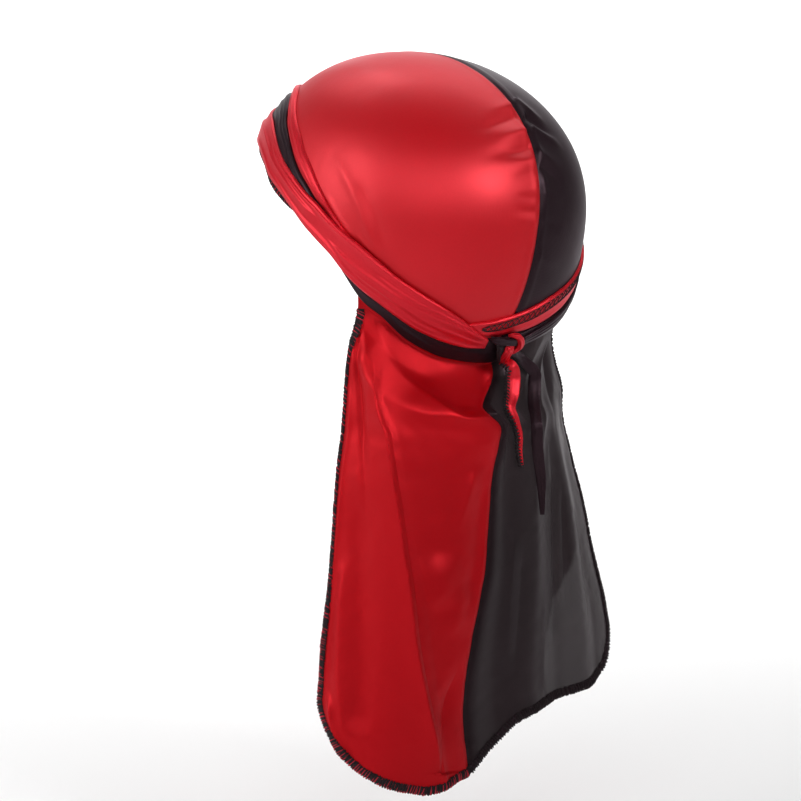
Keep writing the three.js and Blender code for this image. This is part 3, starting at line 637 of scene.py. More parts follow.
def thread(name, colour):
    """Matt sewing thread with a fine twist."""
    n = Nodes(name)
    uv = n.add("ShaderNodeUVMap", uv_map="cloth").outputs["UV"]
    twist = n.add("ShaderNodeTexWave", {"Vector": uv, "Scale": 3.0, "Distortion": 0.5},
                  bands_direction="DIAGONAL")
    bump = n.add("ShaderNodeBump", {"Height": twist.outputs["Fac"], "Strength": 0.3, "Distance": 0.0001})
    body = n.add("ShaderNodeBsdfPrincipled", {"Base Color": colour, "Roughness": 0.7, "Specular IOR Level": 0.3,
                                              "Normal": bump.outputs["Normal"]})
    n.put(n.out.inputs["Surface"], body.outputs["BSDF"])
    return n.material


RED_GLEAM, PINK_GLEAM, BLACK_GLEAM = (1.0, 0.5, 0.58, 1.0), (0.8, 0.48, 0.55, 1.0), (0.55, 0.5, 0.53, 1.0)
RED, BLACK, EDGE = "satin_red", "satin_black", "overlock_dark"
# The red satin is one cloth in three copies: the dome's and the ties' copies have lighter base tones as painted
# light, and the flap's copy a darker one as painted shade.
RED_DOME_PAINTED_LIGHT = satin("red_satin_dome_painted_light", tone(206, 13, 26), tone(187, 6, 16), PINK_GLEAM, 0.45, 1.0, 0.38), RED
RED_FLAP_PAINTED_SHADE = satin("red_satin", tone(194, 6, 19), tone(175, 3, 12), RED_GLEAM, 0.46, 0.4, 0.45), RED
RED_TIE_PAINTED_LIGHT = satin("red_satin_tie_painted_light", tone(216, 22, 39), tone(190, 10, 25), RED_GLEAM, 0.42, 0.9, 0.5), RED
BLACK_SATIN = satin("black_satin", tone(52, 36, 42), tone(36, 24, 29), BLACK_GLEAM, 0.4, 0.3, 0.5), BLACK
# The flap's copy of the black satin has a darker base tone than the rest, as painted shade; its sheerness is real.
BLACK_FLAP_PAINTED_SHADE = satin("black_satin_flap_painted_shade", tone(43, 29, 33), tone(30, 20, 23), BLACK_GLEAM, 0.42, 0.25, 0.4,
                    sheer=0.045), BLACK
BLACK_EDGE = BLACK_SATIN[0], EDGE
DARK_THREAD = thread("dark_thread", tone(34, 22, 26)), EDGE
RED_THREAD = thread("red_thread", tone(196, 40, 58)), RED


# ---- dome
RED_PUCKERS = [
    # places on the dome (angle, height mm) from the seam out, rise in mm, width in mm, fade at the far end
    ([(97, 58.4), (84.3, 55.5), (72.3, 51.9), (63, 49.3)], -1.3, 3.4, 0.8),
    ([(94.2, 43.7), (85.7, 41.6), (76, 40.3), (67.5, 37.8)], -1.5, 3.4, 0.8),
    ([(96.2, 62.5), (84.7, 61), (71.9, 58.3)], 0.7, 3.6, 0.8),
    ([(96, 51), (83.3, 49), (72.9, 46)], 1.1, 3.2, 0.8),
    ([(92, 37), (83, 36), (74, 34)], 0.5, 3.0, 0.8),
    ([(92, 31), (83, 29.3), (78, 28)], -0.3, 1.8, 0.7),
    ([(91, 17.8), (83.5, 19), (79, 20)], -0.35, 1.8, 0.7),
    ([(90, 11.2), (83.7, 12), (78, 13.2)], -0.5, 1.8, 0.7),
    ([(90, 6), (83.7, 7), (78, 8)], 0.3, 2.5, 0.7),
    ([(90, -10), (83.7, -9), (78, -8)], -0.2, 2.0, 0.7),
]
BLACK_PUCKERS = [
    ([(101.9, 64.6), (106, 58), (112, 52)], 0.9, 2.8, 0.7),
    ([(98.4, 57), (105, 50), (110, 44)], -0.9, 3.0, 0.7),
    ([(98.4, 52), (107.1, 45.8), (114, 40)], 0.9, 2.6, 0.7),
    ([(94.7, 41.3), (100.3, 36.2), (108, 32)], 0.8, 3.2, 0.7),
    ([(94, 34), (100, 28), (106, 25)], -0.7, 3.5, 0.7),
    ([(92, 22), (98, 18), (104, 16)], 0.5, 3.5, 0.7),
    ([(91, 8), (98, 4), (104, 2)], -0.4, 3.5, 0.7),
    ([(91, -12), (98, -16), (106, -18)], 0.4, 3.5, 0.7),
]
DOME_CREASES = [
    ([(13, 34), (19.9, 23.6), (24.7, 14.5), (29, 2.8), (34.1, -14.7)], 1.7, 6.0),
    ([(24, 24), (31, 8), (37, -12)], -1.5, 5.0),
    ([(28.4, -9.2), (32.7, -13.5)], 0.8, 1.2),
    ([(26, -4), (36, -18)], 0.8, 2.0),
    ([(13, 14), (19, 3), (26, -8)], 0.9, 1.6),
]


PUCKER_RISE, CREASE_SCALE = 1.45, 0.6

# Relief beside the seam, in mm: the dip, the roll beside it and the uneven pull of the stitches
SEAM_DIP, SEAM_DIP_WIDTH = 0.9, 1.3
SEAM_ROLL, SEAM_ROLL_AT, SEAM_ROLL_WIDTH = 0.3, 3.4, 1.8
SEAM_PULL, SEAM_PULL_STEP, SEAM_PULL_REACH, SEAM_CLEAR = 0.22, 5, 7, 3
DOME_RUMPLE, DOME_RUMPLE_STEP, DOME_RUMPLE_SEED = 0.16, 26, 5
DOME_COLUMNS, DOME_ROWS = 221, 150


def dome_line(places):
    angle, height = np.array(places, float).T
    return on_dome(angle, height)


def crown(name, first, last, look, puckers, creases, pull_seed):
    """Half of the dome. Its columns stand a little closer together at the seam."""
    turn = np.linspace(-1, 1, DOME_COLUMNS)
    angle = (first + last) / 2 + (last - first) / 2 * (1.2 * turn - 0.2 * turn**3)
    share = np.linspace(0, 1, DOME_ROWS)[:, None]
    edge = latitude_of(height_of(eased(CROWN_EDGE, angle, "height")))
    latitude = edge + (np.pi / 2 - edge) * share
    angle = np.broadcast_to(angle, latitude.shape)
    bare = on_crown(angle, latitude)
    seam = on_crown(np.where(np.sin(np.radians(angle)) > 0, NAPE_ANGLE, FRONT_ANGLE), latitude)
    from_seam = np.linalg.norm(bare - seam, axis=-1)
    clear = smooth(from_seam / SEAM_CLEAR)
    relief = (SEAM_ROLL * np.exp(-((from_seam - SEAM_ROLL_AT) / SEAM_ROLL_WIDTH) ** 2)
              - SEAM_DIP * np.exp(-(from_seam / SEAM_DIP_WIDTH) ** 2))
    pull = wander(bare[..., 2] + 0.4 * from_seam, SEAM_PULL_STEP, pull_seed)
    relief += SEAM_PULL * pull * np.exp(-from_seam / SEAM_PULL_REACH) * clear
    for places, rise, width, fade in puckers:
        pucker = fold(bare, dome_line(places), PUCKER_RISE * rise, width, width, (0.01, fade), 1.5)
        relief += pucker * smooth(from_seam / 2.5)
    for places, rise, width in creases:
        width = CREASE_SCALE * width
        relief += fold(bare, dome_line(places), CREASE_SCALE * rise, width, width, (0.3, 0.2), 1.4)
    relief += DOME_RUMPLE * rumple(bare[..., 1], bare[..., 2], DOME_RUMPLE_STEP, DOME_RUMPLE_SEED) * clear
    points = on_crown(angle, latitude, relief)
    uv = np.stack([bare[..., 1], np.degrees(latitude) * 1.5], -1)
    return piece(name, points, grid_faces(*points.shape[:2]), look, uv)


crown_red = crown("crown_red", FRONT_ANGLE, NAPE_ANGLE, RED_DOME_PAINTED_LIGHT, RED_PUCKERS, DOME_CREASES, 11)
crown_black = crown("crown_black", NAPE_ANGLE, FRONT_ANGLE + 360, BLACK_SATIN, BLACK_PUCKERS, (), 12)
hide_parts("crown_left")
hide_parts("crown_right")


# ---- ties
COLUMNS_PER_DEGREE, OUTER_POINTS, INNER_POINTS = 1.7, 61, 10
BAND_SINK, BAND_WAVE, BAND_WAVE_STEP = 0.35, 0.35, 7
TIP_LOWER_RAISED, TIP_UPPER_LOWERED = 0.8, 0.15


def leg_rows(leg, angle):
    """Height of a leg's lower edge, its height across, and how far its underside stands off the dome."""
    lower, upper = height_of(eased(leg, angle, "lower")), height_of(eased(leg, angle, "upper"))
    return lower, upper - lower, TIE_GAP + eased(leg, angle, "layer") * LAYER_STEP


def band(name, leg, relief, look, seed, wall=TIE_WALL, edge=0.1, tip=0):
    """One leg of a tie, as a band whose edges are rolled over a share of its width.

    relief(share across, angle) is in mm. The leg's first degrees narrow to a tip, if it has one.
    """
    first, last = leg["angle"][0], leg["angle"][-1]
    angle = np.linspace(first, last, int((last - first) * COLUMNS_PER_DEGREE))[:, None]
    over = (1 - np.cos(np.linspace(0, np.pi, OUTER_POINTS))) / 2
    under = np.linspace(1, 0, INNER_POINTS + 2)[1:-1]
    share = np.concatenate([over, under])[None, :]
    outside = np.concatenate([np.ones(OUTER_POINTS), np.zeros(INNER_POINTS)])[None, :]
    lower, width, base = leg_rows(leg, angle)
    rolled = np.sqrt(np.clip(1 - (1 - np.clip(np.minimum(share, 1 - share) / edge, 0, 1)) ** 2, 0, 1))
    lift = outside * rolled * (wall + BAND_SINK + relief(share, angle))
    wave = BAND_WAVE * wander(angle, BAND_WAVE_STEP, seed)
    if tip:
        narrow = 1 - smooth((angle - first) / tip)
        lift = lift * (1 - narrow)
        lower = lower + narrow * width * TIP_LOWER_RAISED
        width = width * (1 - narrow * (TIP_LOWER_RAISED + TIP_UPPER_LOWERED))
    height = lower + width * share + wave * (1 - 2 * np.abs(share - 0.5))
    points = on_dome(angle, height, base - BAND_SINK + lift)
    return piece(name, points, capped(points), look, flat_uv(points))


PLEAT_END = 8


def pleats(*rows):
    """Relief from pleats along a tie.

    A row has the angle and the share across where a pleat starts, the same where it ends, its rise in mm,
    and its width below and above its line in shares.
    """
    def relief(share, angle):
        total = 0.12 * rumple(share * 14, angle * 1.4, 9, 3)
        for start, low, end, high, rise, below, above in rows:
            at = np.clip((angle - start) / (end - start), 0, 1)
            off = share - (low + (high - low) * at)
            width = np.where(off > 0, above, below)
            ends = smooth((angle - start) / PLEAT_END) * smooth((end - angle) / PLEAT_END)
            total = total + rise * np.exp(-np.abs(off / width) ** 1.3) * ends
        return total
    return relief


tie_black_lower = band("tie_black_lower_cloth", BLACK_LOWER, pleats(
    (-75, 0.35, 60, 0.3, 0.4, 0.1, 0.06), (-75, 0.62, 40, 0.66, 0.5, 0.12, 0.05),
    (-75, 0.85, 20, 0.82, 0.3, 0.06, 0.05), (0, 0.5, 90, 0.45, 0.25, 0.15, 0.15)), BLACK_SATIN, 21)
tie_black_upper = band("tie_black_upper_cloth", BLACK_UPPER, pleats(
    (97, 0.4, 285, 0.45, 0.5, 0.2, 0.06), (97, 0.7, 250, 0.75, 0.5, 0.1, 0.05),
    (120, 0.2, 285, 0.2, 0.3, 0.1, 0.08)), BLACK_SATIN, 21)
tie_red_crossing = band("tie_red_crossing_cloth", RED_CROSSING, pleats(
    (67, 0.2, 255, 0.2, 0.35, 0.12, 0.1), (67, 0.93, 140, 0.92, 0.4, 0.08, 0.05),
    (120, 0.6, 255, 0.6, 0.3, 0.1, 0.1)), RED_TIE_PAINTED_LIGHT, 22)
tie_red_wrap = band("tie_red_wrap_cloth", RED_WRAP, pleats(
    (-105, 0.5, 14, 0.66, 1.2, 0.3, 0.07), (-20, 0.8, 42, 0.93, 0.8, 0.1, 0.035),
    (16, 0.38, 77, 0.86, 1.3, 0.26, 0.03), (-40, 0.2, 60, 0.24, 0.7, 0.16, 0.05),
    (30, 0.62, 77, 0.97, 0.8, 0.1, 0.025), (20, 0.1, 77, 0.12, 0.5, 0.08, 0.05),
    (24, 0.3, 60, 0.5, 0.6, 0.05, 0.05), (38, 0.55, 70, 0.8, -0.5, 0.05, 0.04),
    (44, 0.36, 77, 0.5, 0.6, 0.12, 0.03)), RED_TIE_PAINTED_LIGHT, 18, edge=0.06)
crown_fold = band("crown_fold", FRONT_FOLD, pleats(
    (-74, 0.6, 24, 0.6, 0.5, 0.3, 0.12), (-40, 0.2, 10, 0.35, 0.4, 0.2, 0.08)), RED_TIE_PAINTED_LIGHT, 10,
    wall=0.9, edge=0.25, tip=22)
for item, node in ((tie_black_lower, "tie_black_lower"), (tie_black_upper, "tie_black_upper"),
                   (tie_red_crossing, "tie_red_crossing"), (tie_red_wrap, "tie_red_wrap"),
                   (crown_fold, "crown_pleat")):
    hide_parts(node)


def on_leg(leg, angle, share, standoff):
    """A place on a tie: angle round the dome and share of the way from its lower edge."""
    lower, width, base = leg_rows(leg, angle)
    return on_dome(angle, lower + width * share, base + TIE_WALL + standoff)


CROSS_FIRST, CROSS_LAST, CROSS_STEP, CROSS_THREAD = 73.5, 150, 2.4, 0.24
CROSS_MIDDLE = [73, 81, 90, 99, 114, 150], [0.54, 0.59, 0.66, 0.7, 0.75, 0.75]
CROSS_HALF = [73, 76, 100, 150], [0.03, 0.19, 0.19, 0.14]
RAIL_LIFT, CROSS_LIFT, CROSS_BOW = 0.1, 0.35, 0.25


def cross_stitch():
    """Two lines of thread with crosses between them, along the middle of the crossing tie."""
    angle = np.arange(CROSS_FIRST, CROSS_LAST, CROSS_STEP)
    stops = np.stack([angle, np.interp(angle, *CROSS_MIDDLE), np.interp(angle, *CROSS_HALF)])
    step = np.linspace(0, 1, 5)
    paths = []
    for start, end in zip(stops.T[:-1], stops.T[1:]):
        a, m, h = (start + (end - start) * step[:, None]).T
        for low, high in ((-1, -1), (1, 1), (-1, 1), (1, -1)):
            lift = (RAIL_LIFT if low == high else CROSS_LIFT) + CROSS_BOW * np.sin(step * np.pi)
            paths.append(on_leg(RED_CROSSING, a, m + h * (low + (high - low) * step), lift))
    paths = np.array(paths)
    facing = unit(paths - np.array([0, 0, -SEAT]))
    return threads("cross_stitch", paths, CROSS_THREAD, DARK_THREAD, facing)


cross = cross_stitch()


# ---- neck flap
SPAN, DROP = 190.0, CAPE_LENGTH
FLAP_COLUMNS, FLAP_ROWS, TUCK_ROWS = 165, 330, 6
START_DROP, START_SHIFT = -0.02, 0.02
RELEASE, EARLY_RELEASE, EARLY_SHARE = 26, 7, 0.35
# Beside the seam, heights and widths in mm: calmer folds, a bulge over a range of drops, the dip of the seam
CALM, CALM_WIDTH = 0.5, 6
BULGE, BULGE_WIDTH, BULGE_FROM, BULGE_TO, BULGE_END = 4.5, 15, 0.09, 0.205, 0.05
FLAP_DIP, FLAP_DIP_WIDTH, FLAP_PULL, FLAP_RUMPLE, FLAP_FINE = 0.9, 1.4, 0.25, 0.5, 0.12
# Drops, and the shares across there
SEAM_NUDGE = [0.08, 0.12, 0.14, 0.16, 0.195, 0.23, 0.26], [0.028, 0.032, 0.036, 0.034, 0.014, -0.003, 0]
LEFT_NUDGE = [-0.02, 0, 0.03, 0.06, 0.1, 0.16, 0.25], [0.014, 0.011, 0.006, 0.01, 0.016, 0.01, 0]
WINDOW_EDGE = ([.12, .17, .25, .37, .5, .56, .61, .67, .74, .81, .87, .9],
               [.99, .93, .87, .85, .86, .85, .82, .76, .71, .7, .72, .8])
SLIT_ACROSS, SLIT_TOP, SLIT_BOTTOM = 0.775, 0.31, 0.44
RED_FOLDS = [
    # line as (across, drop) shares, then rise, width left of or below it and width on its other side in mm,
    # fades at its ends, crispness
    ([(.012, .005), (.032, .058), (.082, .105), (.133, .155), (.177, .288), (.218, .402), (.251, .525), (.29, .648),
      (.321, .73), (.358, .814), (.385, .9), (.41, 1.06)], 10.0, 13, 14, (.2, .1), 0.95),
    ([(.145, .155), (.19, .288), (.231, .402), (.264, .525), (.303, .648), (.334, .73), (.371, .814), (.395, .9)],
     -1.5, 1.1, 4, (.25, .2), 1.0),
    ([(.075, .08), (.12, .12), (.16, .17), (.21, .288), (.25, .402), (.29, .525), (.34, .648), (.39, .776),
      (.42, .865), (.435, 1.06)], -1.5, 5, 14, (.25, .1), 1.6),
    ([(.47, .74), (.42, .85), (.4, .97)], -2.4, 3, 7, (.4, .0), 1.2),
    ([(.405, .9), (.41, .97), (.415, 1.03)], 1.6, 2.5, 2, (.6, .0), 1.3),
    ([(.04, .03), (.088, .077), (.148, .129), (.229, .172), (.323, .206), (.373, .225), (.413, .24), (.466, .243),
      (.53, .24)], 4.8, 8, 2.6, (.3, .0), 1.4),
    ([(.032, .022), (.103, .085), (.146, .119), (.195, .153), (.253, .179), (.308, .2), (.375, .223), (.428, .23),
      (.485, .233), (.53, .233)], 1.5, 2.0, 1.2, (.05, .0), 1.2),
    ([(.3, .27), (.38, .295), (.45, .3), (.52, .29)], 2.0, 12, 6, (.5, .0), 1.6),
    ([(.005, .03), (.013, .065), (.043, .105), (.079, .186), (.091, .287), (.115, .366), (.13, .5)], -2.4, 2.6, 4.4,
     (.25, .5), 1.5),
    ([(.02, .15), (.03, .25), (.02, .4), (.0, .66), (.005, .8)], 1.4, 5, 3, (.2, .1), 1.4),
    ([(.1, .36), (.11, .5), (.14, .7), (.17, .9)], -2.6, 10, 12, (.3, .1), 2),
    ([(.05, .5), (.06, .7), (.12, .92)], 1.6, 6, 8, (.3, .1), 1.6),
    ([(.33, .5), (.36, .58), (.37, .64)], 2.2, 8, 10, (.4, .4), 1.8),
    ([(.42, .58), (.43, .64), (.42, .7)], 1.8, 7, 8, (.4, .4), 1.8),
    ([(.44, .33), (.42, .4), (.39, .5)], 1.8, 4, 6, (.4, .5), 1.4),
    ([(.04, .8), (.07, .88), (.14, .95)], 2.2, 7, 3, (.3, .3), 1.4),
    ([(.46, .35), (.47, .5), (.45, .7)], -1.6, 6, 6, (.3, .3), 1.8),
]
BLACK_FOLDS = [
    ([(.56, .2), (.56, .6), (.56, 1.03)], -2.0, 9, 9, (.3, .0), 2),
    ([(.65, .2), (.655, .6), (.66, 1.03)], 2.8, 12, 9, (.3, .0), 1.7),
    ([(.75, .2), (.755, .6), (.76, 1.03)], -2.6, 9, 9, (.3, .0), 2),
    ([(.84, .2), (.85, .6), (.86, 1.03)], 2.4, 9, 8, (.3, .0), 1.7),
    ([(.92, .2), (.925, .6), (.93, 1.03)], -1.2, 6, 6, (.3, .0), 2),
    ([(1, -.05), (1.0, .5), (1.0, 1.03)], 5.2, 24, 24, (.05, .0), 2),
    ([(.585, .45), (.58, .6), (.6, .8)], 1.6, 3.5, 5, (.3, .3), 1.4),
    ([(.61, .5), (.615, .65), (.62, .85)], -1.2, 3, 4, (.3, .3), 1.4),
    ([(.82, .02), (.71, .13), (.62, .24), (.57, .34)], 2.4, 4, 6, (.05, .5), 1.3),
    ([(.86, .03), (.79, .16), (.73, .3), (.7, .45)], 2.2, 4, 6, (.05, .6), 1.3),
    ([(.9, .04), (.86, .2), (.82, .35)], -1.6, 4, 5, (.1, .6), 1.4),
    ([(.5, .1), (.54, .16), (.6, .22)], 1.6, 4, 5, (.3, .6), 1.5),
    ([(.79, .35), (.775, .5), (.765, .68), (.75, .78)], -1.8, 2.2, 3.5, (.3, .3), 1.3),
    ([(.82, .4), (.81, .55), (.8, .72)], -1.4, 2.2, 3, (.3, .3), 1.4),
    ([(.7, .6), (.7, .75), (.71, .88)], 1.0, 3, 5, (.3, .2), 1.5),
    ([(.9, .45), (.9, .6), (.88, .76)], -1.2, 2, 3, (.3, .3), 1.4),
]


def flap_relief(across, drop):
    x, y = across * SPAN, drop * DROP
    place = np.stack([x, y], -1)
    total = np.zeros(np.shape(across))
    for line, rise, left, right, fade, crisp in RED_FOLDS + BLACK_FOLDS:
        total = total + fold(place, np.array(line) * (SPAN, DROP), rise, left, right, fade, crisp)
    away = np.abs(across - SEAM_SHARE) * SPAN
    total = total * (1 - CALM * np.exp(-(away / CALM_WIDTH) ** 2))
    bulge = smooth((drop - BULGE_FROM) / BULGE_END) * smooth((BULGE_TO - drop) / BULGE_END)
    total += BULGE * np.exp(-(away / BULGE_WIDTH) ** 2) * bulge
    total -= FLAP_DIP * np.exp(-(away / FLAP_DIP_WIDTH) ** 2)
    total += FLAP_PULL * wander(y, 9, 4) * np.exp(-away / 6)
    total += FLAP_RUMPLE * rumple(x, y * 0.35, 17, 8) * smooth((drop - 0.1) / 0.3)
    return total + FLAP_FINE * rumple(x, y, 5, 9)


def at_seam(across):
    return np.exp(-((across - SEAM_SHARE) / 0.1) ** 2)


def nudged(across, drop):
    """The share across, moved where the seam and the left edge wander."""
    seam, left = np.interp(drop, *SEAM_NUDGE), np.interp(drop, *LEFT_NUDGE)
    return across + seam * at_seam(across) + left * np.exp(-(across / 0.08) ** 2)


def flap_grid(first, last):
    """Half of the flap: some rows tucked under the ties, then the hanging cloth, eased out from the dome."""
    across = np.linspace(first, last, FLAP_COLUMNS)[None, :]
    turned, edge, shown = flap_start(nudged(across, START_DROP) + START_SHIFT * at_seam(across))
    under = np.linspace(0, 1, TUCK_ROWS)[:, None]
    tucked = on_dome(np.broadcast_to(turned, (TUCK_ROWS, FLAP_COLUMNS)),
                     edge - TUCK_GAP + (shown - edge + 0.4 * TUCK_GAP) * under, -TUCK_DEPTH)
    start = on_dome(turned, shown - TUCK_GAP, -TUCK_DEPTH)
    share = np.linspace(0.003, 1, FLAP_ROWS)[:, None]
    start_drop = -(start[..., 2] + SEAT + HANG_LINE) / CAPE_LENGTH
    bottom = eased(CAPE_BOTTOM, across, "drop")
    drop = start_drop + (bottom - start_drop) * share
    across = np.broadcast_to(across, drop.shape)
    height = -SEAT - HANG_LINE - drop * CAPE_LENGTH
    relief = flap_relief(across, drop)
    flat = outside_flap(nudged(across, drop), drop, np.zeros_like(relief))
    folded = outside_flap(nudged(across, drop), drop, relief) - flat
    fallen = (start[..., 2] - height)[..., None]
    release, early = smooth(fallen / RELEASE), smooth(fallen / EARLY_RELEASE)
    plan = start[..., :2] + (flat - start[..., :2]) * release
    plan = plan + folded * np.maximum(release, EARLY_SHARE * early)
    hung = np.concatenate([plan, height[..., None]], -1)
    return np.concatenate([tucked, hung]), across, drop


def sheer_mark(across, drop):
    """How thin the black half looks: a window low at the side and strips up its edge."""
    edge = np.interp(drop, *WINDOW_EDGE)
    window = smooth((across - edge) / 0.025 + 0.5) * smooth((drop - 0.1) / 0.06)
    streaks = 0.45 + 0.55 * smooth(0.5 + 1.1 * wander(across * 60 - drop * 4, 1, 21))
    upper = 1 - smooth((drop - 0.5) / 0.1)
    window = window * (streaks * upper + (1 - upper) * (0.78 + 0.22 * wander(across * 40, 1, 22)))
    slit_middle = SLIT_ACROSS + 0.02 * (drop - .37)
    slit = np.exp(-((across - slit_middle) / (0.002 + 0.06 * np.clip(drop - SLIT_TOP, 0, 1))) ** 2)
    slit = slit * smooth((drop - SLIT_TOP) / 0.02) * smooth((SLIT_BOTTOM - drop) / 0.05)
    rest = 0.12 + 0.16 * smooth(0.5 + wander(across * 34 - drop * 2, 1, 23)) * smooth((drop - 0.2) / 0.2)
    black_only = smooth((across - 0.51) / 0.03)
    return np.clip(np.maximum.reduce([window, 0.7 * slit, rest]), 0, 1) * black_only


def flap(name, first, last, look):
    points, across, drop = flap_grid(first, last)
    sheer = np.concatenate([np.zeros((TUCK_ROWS, FLAP_COLUMNS)), sheer_mark(across, drop)])
    item = piece(name, points, grid_faces(*points.shape[:2]), look, flat_uv(points), {"sheer": sheer})
    return item, points


flap_red, RED_GRID = flap("flap_red", 0.0, SEAM_SHARE, RED_FLAP_PAINTED_SHADE)
flap_black, BLACK_GRID = flap("flap_black", SEAM_SHARE, 1.0, BLACK_FLAP_PAINTED_SHADE)
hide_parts("cape_left")
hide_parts("cape_right")


def even(path, gap, facing):
    """Places at even gaps along a path, the facing there, and how far along they are."""
    along = np.concatenate([[0], np.cumsum(np.linalg.norm(np.diff(path, axis=0), axis=1))])
    at = np.linspace(0, along[-1], int(along[-1] / gap) + 1)
    both = [np.stack([np.interp(at, along, line) for line in values.T], -1) for values in (path, facing)]
    return *both, at


def eased_line(values, width):
    """A line of values with its corners taken off."""
    kernel = np.hanning(2 * width + 3)[1:-1]
    kernel /= kernel.sum()
    padded = np.concatenate([np.repeat(values[:1], width, 0), values, np.repeat(values[-1:], width, 0)])
    return np.stack([np.convolve(line, kernel, "valid") for line in padded.T], -1)


def edge_of(grid, side):
    """Side and bottom edge of half of the flap: places, facing of the cloth, way out of it, distance along."""
    normal = grid_normal(grid)
    if side > 0:
        rows, bottom = (slice(14, None), 0), (-1, slice(1, None))
    else:
        rows, bottom = (slice(4, None), -1), (-1, slice(-2, None, -1))
    path = np.concatenate([grid[rows], grid[bottom]])
    facing = np.concatenate([normal[rows], normal[bottom]])
    path = np.concatenate([path, path[-1:] + HEM_OVERRUN * unit(path[-1:] - path[-6:-5])])
    facing = np.concatenate([facing, facing[-1:]])
    facing = facing * np.sign((facing * path * [1, 1, 0]).sum(-1).mean())
    path, facing, at = even(path, HEM_STEP, facing)
    path, facing = eased_line(path, 5), unit(eased_line(facing, 7))
    out = unit(np.cross(unit(np.gradient(path, axis=0)), facing)) * side
    return path, facing, out, at


def ring_body(centre, first, second, half_first, half_second, sides=18, power=2.4):
    """Rings round a line, of a rounded box section."""
    turn = np.linspace(0, 2 * np.pi, sides, endpoint=False)
    c, s = np.cos(turn), np.sin(turn)
    reach = (np.abs(c) ** power + np.abs(s) ** power) ** (-1 / power)
    return (centre[:, None] + first[:, None] * (c * reach)[:, None] * np.reshape(half_first, (-1, 1, 1))
            + second[:, None] * (s * reach)[:, None] * np.reshape(half_second, (-1, 1, 1)))


HEM_OVERRUN, HEM_STEP, HEM_DEPTH, HEM_INSET, HEM_UNEVEN = 1.3, 0.8, 0.85, 0.9, 0.12
ROLL_IN, ROLL_IN_LENGTH = 2.6, 22


def hem(name, grid, side, look, node, widths):
    """A hem, half as wide as widths say (mm along, mm). The left one is rolled in where it starts."""
    path, facing, out, at = edge_of(grid, side)
    half = np.interp(at, *widths) + HEM_UNEVEN * wander(at, 4, 31)
    roll_in = ROLL_IN * np.exp(-(at / ROLL_IN_LENGTH) ** 2) * (side > 0)
    centre = path + out * (half - HEM_INSET - roll_in)[:, None]
    rings = ring_body(centre, out, facing, half, np.full(len(at), HEM_DEPTH))
    base = piece(name, rings, capped(rings), look, flat_uv(rings))
    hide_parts(node)
    return base, (centre, facing, out, at, half)


def whip(name, edge, pitch, lean, look, shift, share, radius, span=(0, 999)):
    """Overlock thread: slanting loops round a hem, a little uneven, over a span of mm along it."""
    centre, facing, out, at, half = edge
    stops = np.arange(at[0] + 0.6, at[-1] - 1.6, pitch)
    stops = stops[(stops >= span[0]) & (stops <= span[1])]
    loose = np.random.default_rng(43).uniform(-1, 1, (3, len(stops), 1))
    stops = stops + 0.25 * pitch * loose[0, :, 0]
    turn = np.linspace(-0.6, np.pi + 0.6, 11)
    length = stops[:, None] + lean * (1 + 0.5 * loose[1]) * (turn / np.pi)[None, :]
    middle, face, away = (np.stack([np.interp(length, at, line) for line in values.T], -1)
                          for values in (centre, facing, out))
    size = np.interp(length, at, half) * share * (1 + 0.12 * loose[2])
    place = (middle + away * (np.cos(turn)[None, :, None] * (size + 0.15)[..., None] + shift)
             + face * (np.sin(turn) * 1.05)[None, :, None])
    return threads(name, place, radius, look, face + 0.3 * away)


# Where the side of the left hem ends and its bottom starts, in mm along it
CORNER, FRINGE_CORNER = 165, 168
hem_left, LEFT_EDGE = hem("flap_hem_left", RED_GRID, 1, DARK_THREAD, "cape_hem_left",
                          ([0, 12, 26, 120, 185, 215], [1.8, 1.7, 1.0, 1.0, 1.5, 2.0]))
hem_right, RIGHT_EDGE = hem("flap_hem_right", BLACK_GRID, -1, BLACK_EDGE, "cape_hem_right",
                            ([0, 60, 140, 200], [1.5, 1.7, 2.1, 2.1]))
left_side = whip("left_side_stitches", LEFT_EDGE, 1.5, 2.2, DARK_THREAD, 0.0, 1.02, 0.44, (0, CORNER))
left_bottom = whip("left_bottom_stitches", LEFT_EDGE, 1.3, 1.0, DARK_THREAD, 0.1, 1.04, 0.42, (CORNER, 999))
left_fringe = whip("left_fringe_stitches", LEFT_EDGE, 1.3, 1.2, RED_THREAD, 0.35, 1.0, 0.3,
                   (FRINGE_CORNER, 999))
side_fringe = whip("left_side_fringe", LEFT_EDGE, 2.3, 1.7, RED_THREAD, 0.0, 1.0, 0.3, (0, FRINGE_CORNER))
right_stitches = whip("right_hem_stitches", RIGHT_EDGE, 1.6, 1.1, DARK_THREAD, 0.0, 1.08, 0.46)


# ---- front edge
FRONT_START, FRONT_END, FRONT_POINTS = -188, 10, 420
FRONT_BELOW, FRONT_HALF, FRONT_DEPTH, FRONT_SINK = 1.2, 1.5, 0.8, 0.6


